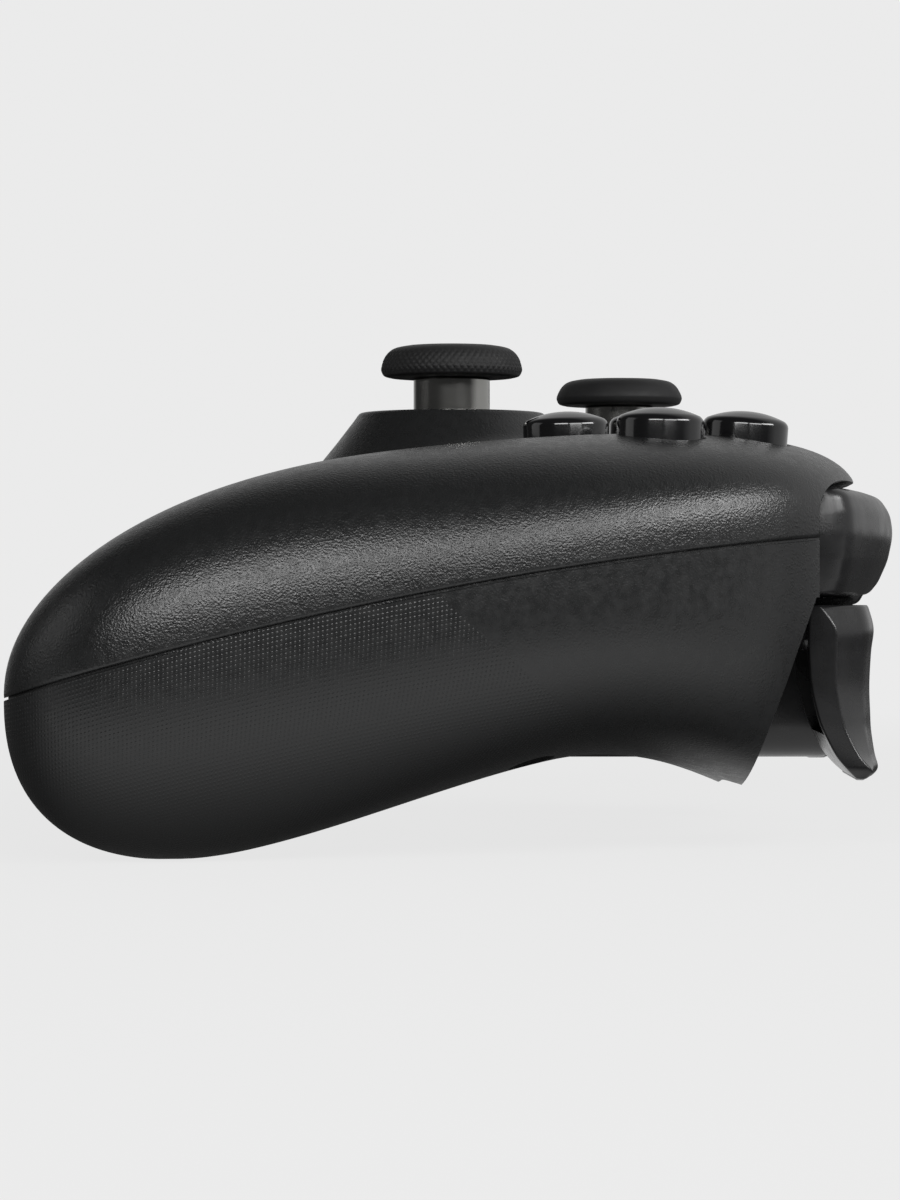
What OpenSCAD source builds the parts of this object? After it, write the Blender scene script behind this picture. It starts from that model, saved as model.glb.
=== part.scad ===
// A wireless game controller with two thumb sticks, a direction pad and analogue triggers.
// X runs to the player's right, Y forward to the triggers, Z up along the stick shafts. Millimetres.

/* [Casing] */
// Width over both grips
body_w = 153; // [150:0.5:186]
// Front edge of the casing
front_y = 47.8; // [46.5:0.1:57.5]
// Tails of the grips
tail_y = -52; // [-63:0.1:-50]
// Rear edge between the grips
arch_y = -21; // [-25:0.5:-19]
// Tail's middle, in from the outer side
tail_in = 13.8; // [13:0.1:18]
// Height of the seam over the grips' lowest point, in the middle of the depth
seam_z = 30.45; // [29:0.05:36.6]
// Rise of the seam to the front
seam_rise = 0.183; // [0.16:0.001:0.21]
// Radius of the seam's arc
seam_r = 427; // [380:1:520]
// Height of the upper half over the seam
dome_h = 17.5; // [16:0.1:21]
// Fall of the upper half to the front
dome_fall = 0.09; // [0.05:0.005:0.12]
// Dip of the upper half at the rear edge
arch_dip = 5; // [2:0.5:7]
// Depth of the grips under the seam
grip_drop = 24.4; // [22:0.1:29.4]
// Extra depth of the horn beside the trigger
horn_drop = 8; // [5:0.1:9.6]
// Underside between the grips
belly_z = 11.6; // [10.4:0.1:13.4]
// Wall thickness
wall = 2; // [1.6:0.1:2.4]

/* [Belly cover] */
// Half width of the belly cover
cover_w = 16.8; // [15.5:0.1:20]
// Thickness of the belly cover under the casing
cover_t = 2.2; // [1.2:0.1:3.4]
// Front of the belly cover, out from the casing's front edge
cover_out = 0.6; // [0.2:0.1:2]
// Upper edge of the belly cover under the seam
cover_under = 7.75; // [5:0.05:12]
// Corner radius of the belly cover
cover_r = 5; // [3:0.5:7]

/* [Sticks] */
// Right stick, across
rstick_x = 21; // [19:0.5:24]
// Right stick, along
rstick_y = -1.9; // [-4:0.1:1]
// Left stick, across
lstick_x = -42; // [-46:0.5:-39]
// Left stick, along
lstick_y = 21.2; // [19:0.1:23]
// Cap diameter
cap_d = 17.2; // [14.4:0.1:20]
// Right cap height
cap_h = 4.3; // [3.6:0.1:5]
// Left cap height
lcap_h = 4; // [3.6:0.1:5]
// Underside of the right cap over the collar's rim
cap_rise = 4; // [3.8:0.1:5]
// Underside of the left cap over the collar's rim
lcap_rise = 3.6; // [3.6:0.1:5]
// Shaft diameter
shaft_d = 9.3; // [7:0.1:9.6]
// Collar rim over the casing at the right stick
collar_rise = 6.4; // [5.8:0.1:7.4]
// Collar hole diameter
collar_hole = 20.8; // [20.4:0.1:25]
// Width of the collar's rim
collar_rim = 1.2; // [0.8:0.1:2.6]
// Pivot under the collar's rim
pivot_drop = 14.2; // [13.8:0.1:15]
// Reach of the skirt past the collar's hole
skirt_over = 0.8; // [0.2:0.1:1]
// Side of the stick's module
module_w = 16; // [15.4:0.1:16.6]
// Pivot over the main board
pivot_rise = 6.2; // [6:0.1:7]

/* [Buttons] */
// Middle of the four face buttons, across
face_x = 40.5; // [38:0.5:43]
// Middle of the four face buttons, along
face_y = 22; // [20:0.1:24]
// Spacing of the face buttons from their middle
face_r = 10.5; // [9.8:0.1:12]
// Face button diameter
face_d = 10; // [8:0.1:11]
// Face button's straight side over the casing
face_rise = 1.7; // [1.4:0.1:2.2]
// Face button's dome
face_dome = 1.4; // [0.8:0.1:1.8]
// Where the face buttons' axes point straight up
fan_y = 17.5; // [9:0.5:25]
// Length of the face buttons' fan
fan_r = 200; // [120:5:400]
// Direction pad, across
dpad_x = -21; // [-24:0.5:-19]
// Direction pad, along
dpad_y = -1.9; // [-4:0.1:1]
// Direction pad, tip to tip
dpad_w = 21.5; // [18:0.1:23]
// Direction pad's arm width
dpad_arm = 7.2; // [6:0.1:8.6]
// Direction pad over the casing
dpad_rise = 2.6; // [2:0.1:3]
// Gap round the direction pad
dpad_gap = 1.15; // [0.95:0.05:1.4]
// Small button diameter
small_d = 5.6; // [4.6:0.1:6.8]
// Small button spacing from the middle
small_x = 12.5; // [11:0.1:15]
// Small buttons, along
small_y = 21; // [19:0.5:23]
// Share button, along
share_y = 12; // [10:0.5:13.5]
// Share button's length
share_w = 7; // [5.8:0.1:8]
// Home button diameter
home_d = 12; // [10:0.1:13]
// Home button, along
home_y = 32.6; // [32:0.1:34]
// Gap round a button
gap = 0.35; // [0.3:0.01:0.45]

/* [Bumpers and triggers] */
// Depth of the bumpers' notch from the casing's front edge
notch_in = 7.8; // [6:0.1:9.4]
// Upper edge of the bumpers' notch under the top of the casing
notch_under = 5.1; // [4.2:0.05:5.4]
// Corner radius of the bumpers' notch
notch_r = 4; // [2:0.5:5]
// Front of the bumpers, out from the casing's front edge
band_out = 4.1; // [2:0.1:5]
// Gap over the bumpers
band_gap = 0.65; // [0.6:0.05:1.2]
// Underside of the bumpers under the seam
band_under = 1.05; // [0.5:0.05:1.5]
// Half width of the bridge between the bumpers
bridge_w = 13.7; // [12:0.1:14.5]
// Depth of the bridge under the bumpers
bridge_deep = 1.2; // [0.8:0.1:1.6]
// Outer ends of the bumpers
band_w = 48.3; // [44:0.1:49]
// Bumper's pin, out from the bridge
pin_out = 3; // [2.6:0.1:3.4]
// Bumper's pin diameter
pin_d = 1.6; // [1.2:0.1:2]
// Trigger's inner side
trig_in = 21.6; // [20:0.1:23]
// Trigger's outer side
trig_out = 46.4; // [44:0.1:47]
// Gap between the bumper and the trigger
trig_gap = 1.1; // [0.8:0.1:1.6]
// Trigger's length, top to tip
trig_len = 20.4; // [17:0.1:24.5]
// Trigger's axle, in from the casing's front edge
axle_in = 10.9; // [10.6:0.1:11.2]
// Trigger's axle under the trigger's top
axle_drop = 2.7; // [2.5:0.1:3.2]
// Axle diameter
axle_d = 2; // [1.6:0.1:2.4]

/* [Inside] */
// Case screws' grip in the upper half
screw_bite = 3.8; // [3:0.1:5]
// Board thickness
board_t = 1.6; // [1:0.1:1.8]
// Battery pack width
pack_w = 46; // [38:0.5:50]
// Battery pack length
pack_l = 30; // [25:0.5:30]
// Battery pack thickness
pack_t = 9; // [7:0.1:10.8]
// Rumble motor diameter
motor_d = 12; // [10:0.1:13]
// Rumble motor length
motor_l = 11; // [9:0.1:12]
// Rumble weight radius
weight_r = 7.5; // [6:0.1:8]
// Headset jack's bore
jack_d = 3.6; // [3.5:0.05:3.7]
// Depth of the headset jack's bore
jack_l = 14; // [12:0.1:15]

/* [Hidden] */
$fn = 48;
half_w = body_w / 2;
tail_x = half_w - tail_in;
wide = half_w + 20;
crest_y = -18;
low_y = -23;
cover_z = belly_z - cover_t;
cover_y = front_y + cover_out;
cover_top = seam_z - cover_under;
collar_d = collar_hole + 2 * collar_rim;
skirt_r = collar_hole / 2 + skirt_over;
notch_y = front_y - notch_in;
notch_z = seam_z + dome_h - notch_under;
band_y = front_y + band_out;
band_top = notch_z - band_gap;
band_low = seam_z - band_under;
trig_top = band_low - trig_gap;
trig_tip = trig_top - trig_len;
axle_y = front_y - axle_in;
axle_z = trig_top - axle_drop;

function mix(a, b, t) = a + (b - a) * t;
function ease(v, lo, hi) = let (t = max(0, min(1, (v - lo) / (hi - lo)))) t * t * (3 - 2 * t);
function round_off(u, n) = pow(max(0, 1 - pow(min(1, abs(u)), n)), 1 / n);
function power(v, e) = sign(v) * pow(abs(v), e);

// Outline of the right half at the seam, from the front round the tail to the rear edge
edge = [
    [-21, front_y - 0.2],
    [0, front_y],
    [21, front_y - 0.2],
    [half_w - 35.5, front_y - 2.2],
    [half_w - 18, front_y - 10.7],
    [half_w - 7, front_y - 27.2],
    [half_w - 1.5, front_y - 46.2],
    [half_w, tail_y + 33.3],
    [tail_x + 12, tail_y + 10.3],
    [tail_x, tail_y],
    [tail_x - 12.5, tail_y + 9.8],
    [tail_x - 18.7, tail_y + 16.8],
    [tail_x - 25.7, tail_y + 22.3],
    [mix(22.5, tail_x - 25.7, 0.52), arch_y - 5.6],
    [22.5, arch_y - 2.8],
    [15, arch_y - 1],
    [7.5, arch_y - 0.2],
    [0, arch_y],
    [-7.5, arch_y - 0.2]
];

function edge_at(t) =
    let (i = max(0, min(len(edge) - 4, floor(t))), f = t - i)
    let (a = edge[i], b = edge[i + 1], c = edge[i + 2], d = edge[i + 3])
    b + (c - a) * f / 2 + (2 * a - 5 * b + 4 * c - d) * f * f / 2
    + (3 * b - a - 3 * c + d) * f * f * f / 2;
function rim(t, off) =
    let (d = edge_at(t + 0.01) - edge_at(t - 0.01))
    edge_at(t) + off * [d.y, -d.x] / norm(d);

// Height of the seam, and of the upper and lower faces above and below it
function seam(y) = seam_z + seam_rise * y - y * y / (2 * seam_r);
function up(x, y, off) =
    let (t = max(0, y - crest_y))
    (dome_h - off) * (y < crest_y ? round_off((crest_y - y) / (crest_y - tail_y - off), 2.3) : 1)
    - dome_fall * t * t / (t + 10)
    - arch_dip * (1 - ease(abs(x), 8, 42)) * ease(-y, -11, 21);
function grip_down(y, off) =
    y < low_y ? (grip_drop - off) * round_off((low_y - y) / (low_y - tail_y - off), 2.2)
    : grip_drop - off - 2.9 * ease(y, low_y, 13) + horn_drop * pow(max(0, (y - 9) / 22.4), 2.2);
function down(x, y, off) =
    mix(seam(y) - belly_z - off, grip_down(y, off), ease(abs(x), 20, 40));
function top_n(s) = mix(3.7, 2.3, ease(s, 0.15, 0.75));
function low_n(s) = mix(4, 2.25, ease(s, 0.25, 0.8));

// Cross-sections of the casing from the left tail to the right one
function slice(s, off, n) =
    let (a = abs(s), o = rim(8 * a, off), i = rim(16 - 8 * a, off))
    let (mid = (o + i) / 2, half = (o - i) / 2, side = s < 0 ? -1 : 1)
    [for (j = [0:n - 1])
        let (f = 360 * j / n, e = 2 / (f <= 180 ? top_n(a) : low_n(a)))
        let (p = mid + half * power(cos(f), e), v = power(sin(f), e))
        [side * p.x, p.y, seam(p.y) + v * (v > 0 ? up(p.x, p.y, off) : down(p.x, p.y, off))]];

// Height of the upper face at a place in plan
function rib_at(p, lo, hi, n) =
    let (m = (lo + hi) / 2, o = rim(8 * m, 0), i = rim(16 - 8 * m, 0))
    n == 0 ? m : cross(o - i, p - i) < 0 ? rib_at(p, m, hi, n - 1) : rib_at(p, lo, m, n - 1);
function skin_z(x, y) =
    let (p = [abs(x), y], s = rib_at(p, 0, 1, 20), o = rim(8 * s, 0), i = rim(16 - 8 * s, 0))
    let (u = (p - (o + i) / 2) * (o - i) * 2 / ((o - i) * (o - i)))
    seam(y) + up(x, y, 0) * round_off(u, top_n(s));
// Height of the underside at a place in plan
function floor_z(x, y) =
    let (p = [abs(x), y], s = rib_at(p, 0, 1, 20), o = rim(8 * s, 0), i = rim(16 - 8 * s, 0))
    let (u = (p - (o + i) / 2) * (o - i) * 2 / ((o - i) * (o - i)))
    seam(y) - down(x, y, 0) * round_off(u, low_n(s));
// Height of the upper wall's inner face at a place in plan
function roof_z(x, y) =
    let (p = [abs(x), y], s = rib_at(p, 0, 1, 20), o = rim(8 * s, wall), i = rim(16 - 8 * s, wall))
    let (u = (p - (o + i) / 2) * (o - i) * 2 / ((o - i) * (o - i)))
    seam(y) + up(x, y, wall) * round_off(u, top_n(s));

// A solid through rings of points, each ring anticlockwise seen from the last one
module skin(rings) {
    n = len(rings[0]);
    m = len(rings);
    polyhedron(
        points = [for (r = rings) each r],
        faces = concat(
            [for (i = [0:m - 2], j = [0:n - 1])
                let (k = (j + 1) % n)
                each [[i * n + j, i * n + n + j, i * n + n + k], [i * n + j, i * n + n + k, i * n + k]]],
            [for (j = [1:n - 2]) [0, j, j + 1]],
            [for (j = [1:n - 2]) [m * n - n, m * n - n + j + 1, m * n - n + j]]));
}
module body(off, n, k) {
    skin([for (i = [-n:n]) slice(sign(i) * 0.996 * pow(abs(i) / n, 0.88), off, k)]);
}
// Everything above the seam
module upper() {
    rotate([90, 0, 90])
        linear_extrude(height = 400, center = true)
            polygon(concat([for (y = [-90:6:90]) [y, seam(y)]], [[90, 150], [-90, 150]]));
}
module rounded(lo, hi, r) {
    hull()
        for (x = [lo.x + r, hi.x - r], y = [lo.y + r, hi.y - r], z = [lo.z + r, hi.z - r])
            translate([x, y, z]) sphere(r, $fn = 16);
}
module plate(lo, hi) {
    translate(lo) cube(hi - lo);
}
module pair() {
    children();
    mirror([1, 0, 0]) children();
}

rim_z = skin_z(rstick_x, rstick_y) + collar_rise;
pivot_z = rim_z - pivot_drop;
board_z = pivot_z - pivot_rise;
bay_x = 15;
bay_low = [cover_z - 3, front_y - 16.6];
bay_high = [band_low - 0.2, front_y - 8.2];
bay_rear = front_y - 18.4;
case_screws_at = [[half_w - 17.5, 7], [tail_x - 5.7, tail_y + 15]];
board_posts_at = [[36.5, -11], [15, 29]];
function seat(p) = floor_z(p.x, p.y) + 4;
screw_l = max([for (p = case_screws_at) seam(p.y) - seat(p)]) + screw_bite;

// Opening in front of the slanted edge for the trigger, with a deeper pocket behind the blade
module bay(grow) {
    hull()
        for (x = [bay_x - grow, wide]) {
            translate([x, bay_low.y - grow, bay_low.x]) cube([0.01, 60, 0.01]);
            translate([x, bay_high.y - grow, bay_high.x]) cube([0.01, 60, 0.01]);
        }
    rounded([bay_x - grow, bay_rear - grow, trig_tip - 20],
        [trig_out + 1.2 + grow, bay_rear + 30, bay_high.x + 8], 1.5);
}
// Notch for the bumpers and the bridge
module notch() {
    hull() {
        translate([-wide, notch_y + notch_r, notch_z - notch_r])
            rotate([0, 90, 0]) cylinder(r = notch_r, h = 2 * wide, $fn = 24);
        plate([-wide, notch_y + notch_r, notch_z - 1], [wide, notch_y + 30, notch_z]);
        plate([-wide, notch_y, band_low - 0.3], [wide, notch_y + 30, band_low]);
    }
    plate([-band_w - 0.5, notch_y - 3, band_low - 0.3], [band_w + 0.5, notch_y + 9, band_top + band_gap / 2]);
    plate([-bridge_w - 0.3, band_rear - 0.3, band_low - bridge_deep - 0.3],
        [bridge_w + 0.3, notch_y + 30, band_low]);
}
// Raised cone round a stick's hole, outside the casing's hollow
module collar(x, y) {
    difference() {
        translate([x, y, rim_z])
            rotate_extrude($fn = 36)
                polygon([[collar_hole / 2 - 0.5, -12], [collar_hole / 2 - 0.5, 0], [collar_d / 2 - 0.7, 0],
                    [collar_d / 2 - 0.2, -0.25], [collar_d / 2, -0.8], [collar_d / 2 + 4.6, -6.6],
                    [collar_d / 2 + 5.6, -8.3], [collar_d / 2 + 6.6, -12]]);
        body(wall, 14, 16);
    }
}
module casing() {
    difference() {
        body(0, 28, 26);
        body(wall, 14, 16);
    }
}
module screw_holes(from, h, r) {
    pair()
        for (p = case_screws_at)
            translate([p.x, p.y, seat(p) + from]) cylinder(r = r, h = h, $fn = 16);
}
// Round posts between two heights, kept inside the casing
module posts(at, r, z0, z1) {
    intersection() {
        body(wall / 2, 12, 12);
        pair()
            for (p = at)
                hull() {
                    translate([p.x, p.y, z0]) cylinder(r = r, h = 0.1, $fn = 20);
                    translate([p.x, p.y, z1 - 0.1]) cylinder(r = r, h = 0.1, $fn = 20);
                }
    }
}
module cross_bar(w, arm, h, r) {
    for (a = [0, 90])
        rotate(a)
            hull()
                for (x = [-w / 2 + r, w / 2 - r], y = [-arm / 2 + r, arm / 2 - r])
                    translate([x, y, 0]) cylinder(r = r, h = h, $fn = 24);
}
module obround(w, d, h) {
    hull()
        for (x = [d / 2 - w / 2, w / 2 - d / 2])
            translate([x, 0, 0]) cylinder(d = d, h = h, $fn = 24);
}
// The four face buttons' places, each with its axis square to the casing
function face_at(k) = [face_x + face_r * [0, 1, -1, 0][k], face_y + face_r * [-1, 0, 0, 1][k]];
module at_face(k) {
    p = face_at(k);
    translate([p.x, p.y, skin_z(p.x, p.y)])
        rotate([-atan((p.y - fan_y) / fan_r), 0, 0])
            children();
}
module top_shell() {
    color([0.13, 0.13, 0.14])
        difference() {
            intersection() {
                union() {
                    casing();
                    collar(rstick_x, rstick_y);
                    collar(lstick_x, lstick_y);
                    posts(case_screws_at, 3.4, 5, 80);
                }
                upper();
            }
            for (p = [[rstick_x, rstick_y], [lstick_x, lstick_y]])
                translate([p.x, p.y, pivot_z]) {
                    cylinder(d = collar_hole, h = 30, $fn = 36);
                    sphere(r = skirt_r + 0.45, $fn = 36);
                }
            for (k = [0:3])
                at_face(k) translate([0, 0, -8]) cylinder(d = face_d + 2 * gap, h = 16, $fn = 28);
            translate([dpad_x, dpad_y, dpad_z - 10])
                cross_bar(dpad_w + 2 * dpad_gap, dpad_arm + 2 * dpad_gap, 18, 1 + dpad_gap);
            pair()
                translate([small_x, small_y, 40]) cylinder(d = small_d + 2 * gap, h = 20, $fn = 24);
            translate([0, share_y, 40]) obround(share_w + 2 * gap, 3.6 + 2 * gap, 20);
            translate([0, home_y, 40]) cylinder(d = home_d + 2 * gap, h = 20, $fn = 32);
            notch();
            pair() bay(0);
            screw_holes(0, screw_l + 1, 1.3);
            jack_hole();
        }
}
module jack_hole() {
    translate([0, arch_y + 8, jack_z]) rotate([90, 0, 0]) cylinder(r = 3.5, h = 20, $fn = 28);
}
jack_z = board_z - board_t - 4.4;
module bottom_shell() {
    color([0.12, 0.12, 0.13])
        difference() {
            union() {
                difference() {
                    union() {
                        difference() {
                            body(0, 28, 26);
                            difference() {
                                body(wall, 14, 16);
                                intersection() {
                                    pair() bay(1.8);
                                    plate([-wide, 0, -20], [wide, front_y + 40, board_z - board_t - 0.3]);
                                }
                            }
                        }
                        posts(case_screws_at, 3.6, -10, 80);
                    }
                    upper();
                }
                posts(board_posts_at, 2.6, 5, board_z - board_t);
                cradles();
                rails();
            }
            pair() bay(0);
            notch();
            screw_holes(-1, 40, 1.5);
            screw_holes(-30, 30, 2.7);
            pair()
                for (p = board_posts_at)
                    translate([p.x, p.y, board_z - board_t - 8]) cylinder(r = 1.1, h = 20, $fn = 16);
            jack_hole();
            rumble_room();
        }
}
// Saddles for the rumble motors
motor_at = [tail_x - 11.7, tail_y + 29, seam_z - 12.85];
module cradles() {
    intersection() {
        body(wall / 2, 12, 12);
        pair()
            plate([motor_at.x + 1, motor_at.y - 5, -10], [motor_at.x + 4, motor_at.y + 5, motor_at.z - 2]);
    }
}
module rumble_room() {
    pair()
        translate(motor_at) rotate([0, 90, 0]) cylinder(d = motor_d + 0.1, h = motor_l, $fn = 48);
}
// Rails under the battery pack
pack_z = belly_z + wall + 1.8;
pack_y = arch_y + jack_l + 2.6;
module rails() {
    intersection() {
        body(wall / 2, 12, 12);
        pair()
            plate([pack_w / 2 - 12, pack_y + 1, 5], [pack_w / 2 - 10, pack_y + pack_l - 1, pack_z]);
    }
}
// Kept as one mesh, because its inside follows the casing's underside facet by facet
module belly_cover() {
    color([0.09, 0.09, 0.095])
        resize([0, 0, 0])
            difference() {
                rounded([-cover_w, -10, cover_z], [cover_w, cover_y, cover_top + cover_r], cover_r);
                plate([-40, -40, cover_top], [40, 80, cover_top + 30]);
                difference() {
                    body(0, 28, 26);
                    pair() bay(0);
                }
            }
}

// Section of the bumpers and the bridge, from its rear edge to a given front
band_rear = notch_y - 0.9;
function band_ring(x, front, squeeze, deep = 0) =
    let (k = (front - band_rear) / (band_y - band_rear))
    let (h = band_top - band_low, m = (band_top + band_low) / 2)
    [for (p = [[band_rear - band_y, -deep], [-3.4 - 0.4 * deep, 0.1 - deep], [-1.9, 1.6], [-0.7, 4.2],
            [0, 7.6], [-0.4, 9.9],
            [-1.7, h - 1], [-3.8, h - 0.35], [-6.5, h], [band_rear - band_y, h]])
        [x, band_rear + (p.x + band_y - band_rear) * k, m + (band_low + p.y - m) * squeeze]];
module bridge_cover() {
    color([0.07, 0.07, 0.075])
        difference() {
            union() {
                skin([for (x = [-bridge_w, bridge_w]) band_ring(x, band_y, 1, bridge_deep)]);
                pair() {
                    for (z = [band_low + 0.5, band_top - 2.2])
                        plate([bridge_w - 1, band_rear + 0.4, z],
                            [bridge_w + pin_out + 2, notch_y + 4.6, z + 1.7]);
                }
            }
            plate([-bridge_w + 1.6, band_rear - 1, board_z - board_t - 0.4],
                [bridge_w - 1.6, band_y - 4, band_top - 2]);
            translate([0, band_y + 8, usb_z]) rotate([90, 0, 0]) obround(9.7, 3.9, 20);
            translate([pair_x, band_y + 8, pair_z]) rotate([90, 0, 0]) cylinder(r = 1.5 + gap, h = 20);
            pair()
                translate([bridge_w + pin_out, pin_y, band_low - 10]) cylinder(d = pin_d, h = 40);
        }
}
usb_z = board_z + 1.65;
pair_x = 8.6;
pair_z = usb_z + 3.7;
pin_y = notch_y + 2.2;
module bumper() {
    x0 = bridge_w + 0.4;
    ends = [[x0, 0], [band_w - 24.3, -0.2], [band_w - 18.3, -1.3], [band_w - 12.3, -3.1],
        [band_w - 6.3, -5.4], [band_w - 2.3, -7.1], [band_w - 0.7, -8], [band_w, -9.1]];
    color([0.07, 0.07, 0.075])
        difference() {
            skin([for (e = ends) band_ring(e.x, band_y + e.y, e.x > band_w - 0.1 ? 0.95 : 1)]);
            plate([x0 - 1, band_rear - 1, band_low - 1], [x0 + pin_out + 2.4, notch_y + 5, band_low + 2.7]);
            plate([x0 - 1, band_rear - 1, band_top - 2.7], [x0 + pin_out + 2.4, notch_y + 5, band_top + 1]);
            translate([bridge_w + pin_out, pin_y, band_low - 10]) cylinder(d = pin_d + 0.1, h = 40);
        }
}
module right_bumper() {
    bumper();
}
module left_bumper() {
    mirror([1, 0, 0]) bumper();
}
module bumper_pins() {
    color([0.7, 0.7, 0.72])
        pair()
            translate([bridge_w + pin_out, pin_y, band_low + 0.6])
                cylinder(d = pin_d, h = band_top - band_low - 1.2);
}
module bumper_switches() {
    color([0.2, 0.2, 0.22])
        pair() {
            x = bridge_w + 13.8;
            plate([x - 2.5, notch_y - 7.4, board_z], [x + 2.5, notch_y - 4.2, board_z + 4.4]);
            plate([x - 1.1, notch_y - 4.2, board_z + 1.2], [x + 1.1, band_rear - 0.9, board_z + 3.2]);
        }
}

// Trigger blade: height, then its rear edge, outer ridge and front edge from the casing's front edge
blade = [
    [trig_tip, -2.4, -1.9, -1.2],
    [trig_tip + 1.1, -3.6, -0.9, -0.3],
    [trig_tip + 2.9, -5.1, -2.4, -0.7],
    [trig_tip + 5.6, -6.5, -3.85, -1.1],
    [trig_tip + 7.5, -7.2, -4.4, -1.2],
    [mix(trig_tip + 7.5, axle_z - 2.9, 0.466), -8, -5.1, -1.3],
    [axle_z - 2.9, -8.3, -5.1, -1.1],
    [axle_z, -8.3, -5.2, -0.8],
    [trig_top, -8.2, -7.1, -1.5]
];
function blade_ring(b) =
    let (z = b[0], t = z < trig_tip + 1 ? 0.9 : 0)
    let (rear = front_y + b[1], ridge = front_y + b[2], front = front_y + b[3])
    [[trig_in + t, rear + 0.5, z], [trig_out - 0.5 - t, rear, z], [trig_out - t, ridge, z],
        [trig_out - 2.4 - t, mix(ridge, front, 0.55), z], [trig_out - 5, front, z],
        [trig_out - 12, front + 1.3, z], [trig_in + 4, front + 1.7, z], [trig_in + t, front + 1.2, z]];
function hollow_ring(z, y) =
    [[trig_in + 1.7, axle_y - 0.9, z], [trig_out - 2.2, axle_y - 0.9, z], [trig_out - 2.2, front_y + y, z],
        [trig_out - 6, front_y + y + 2.2, z], [trig_in + 1.7, front_y + y + 3.6, z]];
module trigger() {
    color([0.08, 0.08, 0.085])
        difference() {
            union() {
                skin([for (b = blade) blade_ring(b)]);
                translate([trig_in + 3, axle_y, axle_z])
                    rotate([0, 90, 0]) cylinder(d = axle_d + 2.6, h = trig_out - trig_in - 6);
                plate([trig_in + 3, axle_y, axle_z - 1.4], [trig_out - 3, axle_y + 5, axle_z + 1.6]);
            }
            skin([hollow_ring(trig_tip + 5.3, -4.8), hollow_ring(trig_tip + 7.7, -5.2),
                hollow_ring(mix(trig_tip + 7.7, axle_z - 2.6, 0.54), -5.4), hollow_ring(axle_z - 2.6, -5.3)]);
            translate([0, axle_y, axle_z]) rotate([0, 90, 0]) cylinder(d = axle_d + 0.1, h = 80);
            translate([trig_in + 9.5, axle_y, axle_z]) rotate([0, 90, 0]) cylinder(d = axle_d + 4.4, h = 7.6);
        }
}
module right_trigger() {
    trigger();
}
module left_trigger() {
    mirror([1, 0, 0]) trigger();
}
// Fork that holds a trigger's axle, seated on the rear wall of the bay
module trigger_brackets() {
    color([0.16, 0.16, 0.17])
        pair()
            difference() {
                union() {
                    plate([trig_in + 0.3, bay_rear + 0.05, axle_z - 8.6],
                        [trig_out - 0.3, bay_rear + 2, bay_high.x - 0.9]);
                    for (x = [trig_in + 0.3, trig_out - 2.5]) {
                        plate([x, bay_rear + 0.05, axle_z - 1.9], [x + 2.2, axle_y, axle_z + 1.9]);
                        translate([x, axle_y, axle_z]) rotate([0, 90, 0]) cylinder(r = 1.9, h = 2.2);
                    }
                }
                translate([0, axle_y, axle_z]) rotate([0, 90, 0]) cylinder(d = axle_d, h = 80);
            }
}
module trigger_axles() {
    color([0.75, 0.75, 0.77])
        pair()
            translate([trig_in + 0.4, axle_y, axle_z])
                rotate([0, 90, 0]) cylinder(d = axle_d, h = trig_out - trig_in - 0.8);
}
// Coil spring round the axle with one leg against the bracket
module trigger_spring() {
    turns = 4.25;
    r = axle_d / 2 + 0.75;
    pitch = 1.3;
    color([0.8, 0.8, 0.82]) {
        skin([for (i = [0:turns * 8])
            let (a = 45 * i, x = trig_in + 10.4 + pitch * i / 8)
            [for (j = [0:5])
                let (rr = r + 0.4 * cos(60 * j))
                [x - 0.4 * sin(60 * j), axle_y + rr * cos(a), axle_z + rr * sin(a)]]]);
        translate([trig_in + 10.4, axle_y + r, axle_z])
            rotate([180, 0, 0]) cylinder(r = 0.4, h = 4, $fn = 16);
        translate([trig_in + 10.4 + pitch * turns, axle_y, axle_z + r])
            rotate([90, 0, 0]) cylinder(r = 0.4, h = axle_y - bay_rear - 2.05, $fn = 16);
    }
}
module right_trigger_spring() {
    trigger_spring();
}
module left_trigger_spring() {
    mirror([1, 0, 0]) trigger_spring();
}

// Round button with a flange under the casing and a stem down to its switch
module round_button(d, rise, dome, low, drop = wall + 1.6) {
    rotate_extrude()
        polygon([[0, rise + dome], [d * 0.2, rise + dome * 0.9], [d * 0.34, rise + dome * 0.66],
            [d * 0.45, rise + dome * 0.27], [d / 2 - 0.15, rise + 0.05], [d / 2, rise - 0.2],
            [d / 2, -drop], [d / 2 + 0.7, -drop], [d / 2 + 0.7, -drop - 1.1], [1.4, -drop - 1.1],
            [1.4, low], [0, low]]);
}
// Depth of a face button's flange, clear of the casing's inner face at the flange's edge
function flange_drop(p) =
    let (r = face_d / 2 + 0.7, lean = (p.y - fan_y) / fan_r)
    let (dips = [for (a = [0:30:330]) skin_z(p.x, p.y) - lean * r * sin(a)
        - roof_z(p.x + r * cos(a), p.y + r * sin(a))])
    max(wall + 1.6, max(dips) + 0.5);
function drop_to(x, y, z) = z - skin_z(x, y);
dome_top = board_z + 4.6;
module face_button(k) {
    p = face_at(k);
    color([0.03, 0.03, 0.03])
        at_face(k)
            round_button(face_d, face_rise, face_dome, drop_to(p.x, p.y, dome_top + 0.3), flange_drop(p));
}
module face_button_south() {
    face_button(0);
}
module face_button_east() {
    face_button(1);
}
module face_button_west() {
    face_button(2);
}
module face_button_north() {
    face_button(3);
}
module face_membrane() {
    color([0.75, 0.75, 0.73])
        union() {
            hull()
                for (k = [0:3])
                    translate([face_at(k).x, face_at(k).y, board_z]) cylinder(r = 5, h = 1, $fn = 24);
            for (k = [0:3])
                translate([face_at(k).x, face_at(k).y, board_z + 1])
                    cylinder(r1 = 4, r2 = 2.2, h = dome_top - board_z - 1);
        }
}
dpad_z = skin_z(dpad_x, dpad_y);
dpad_pin_z = board_z + 3.9;
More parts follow.
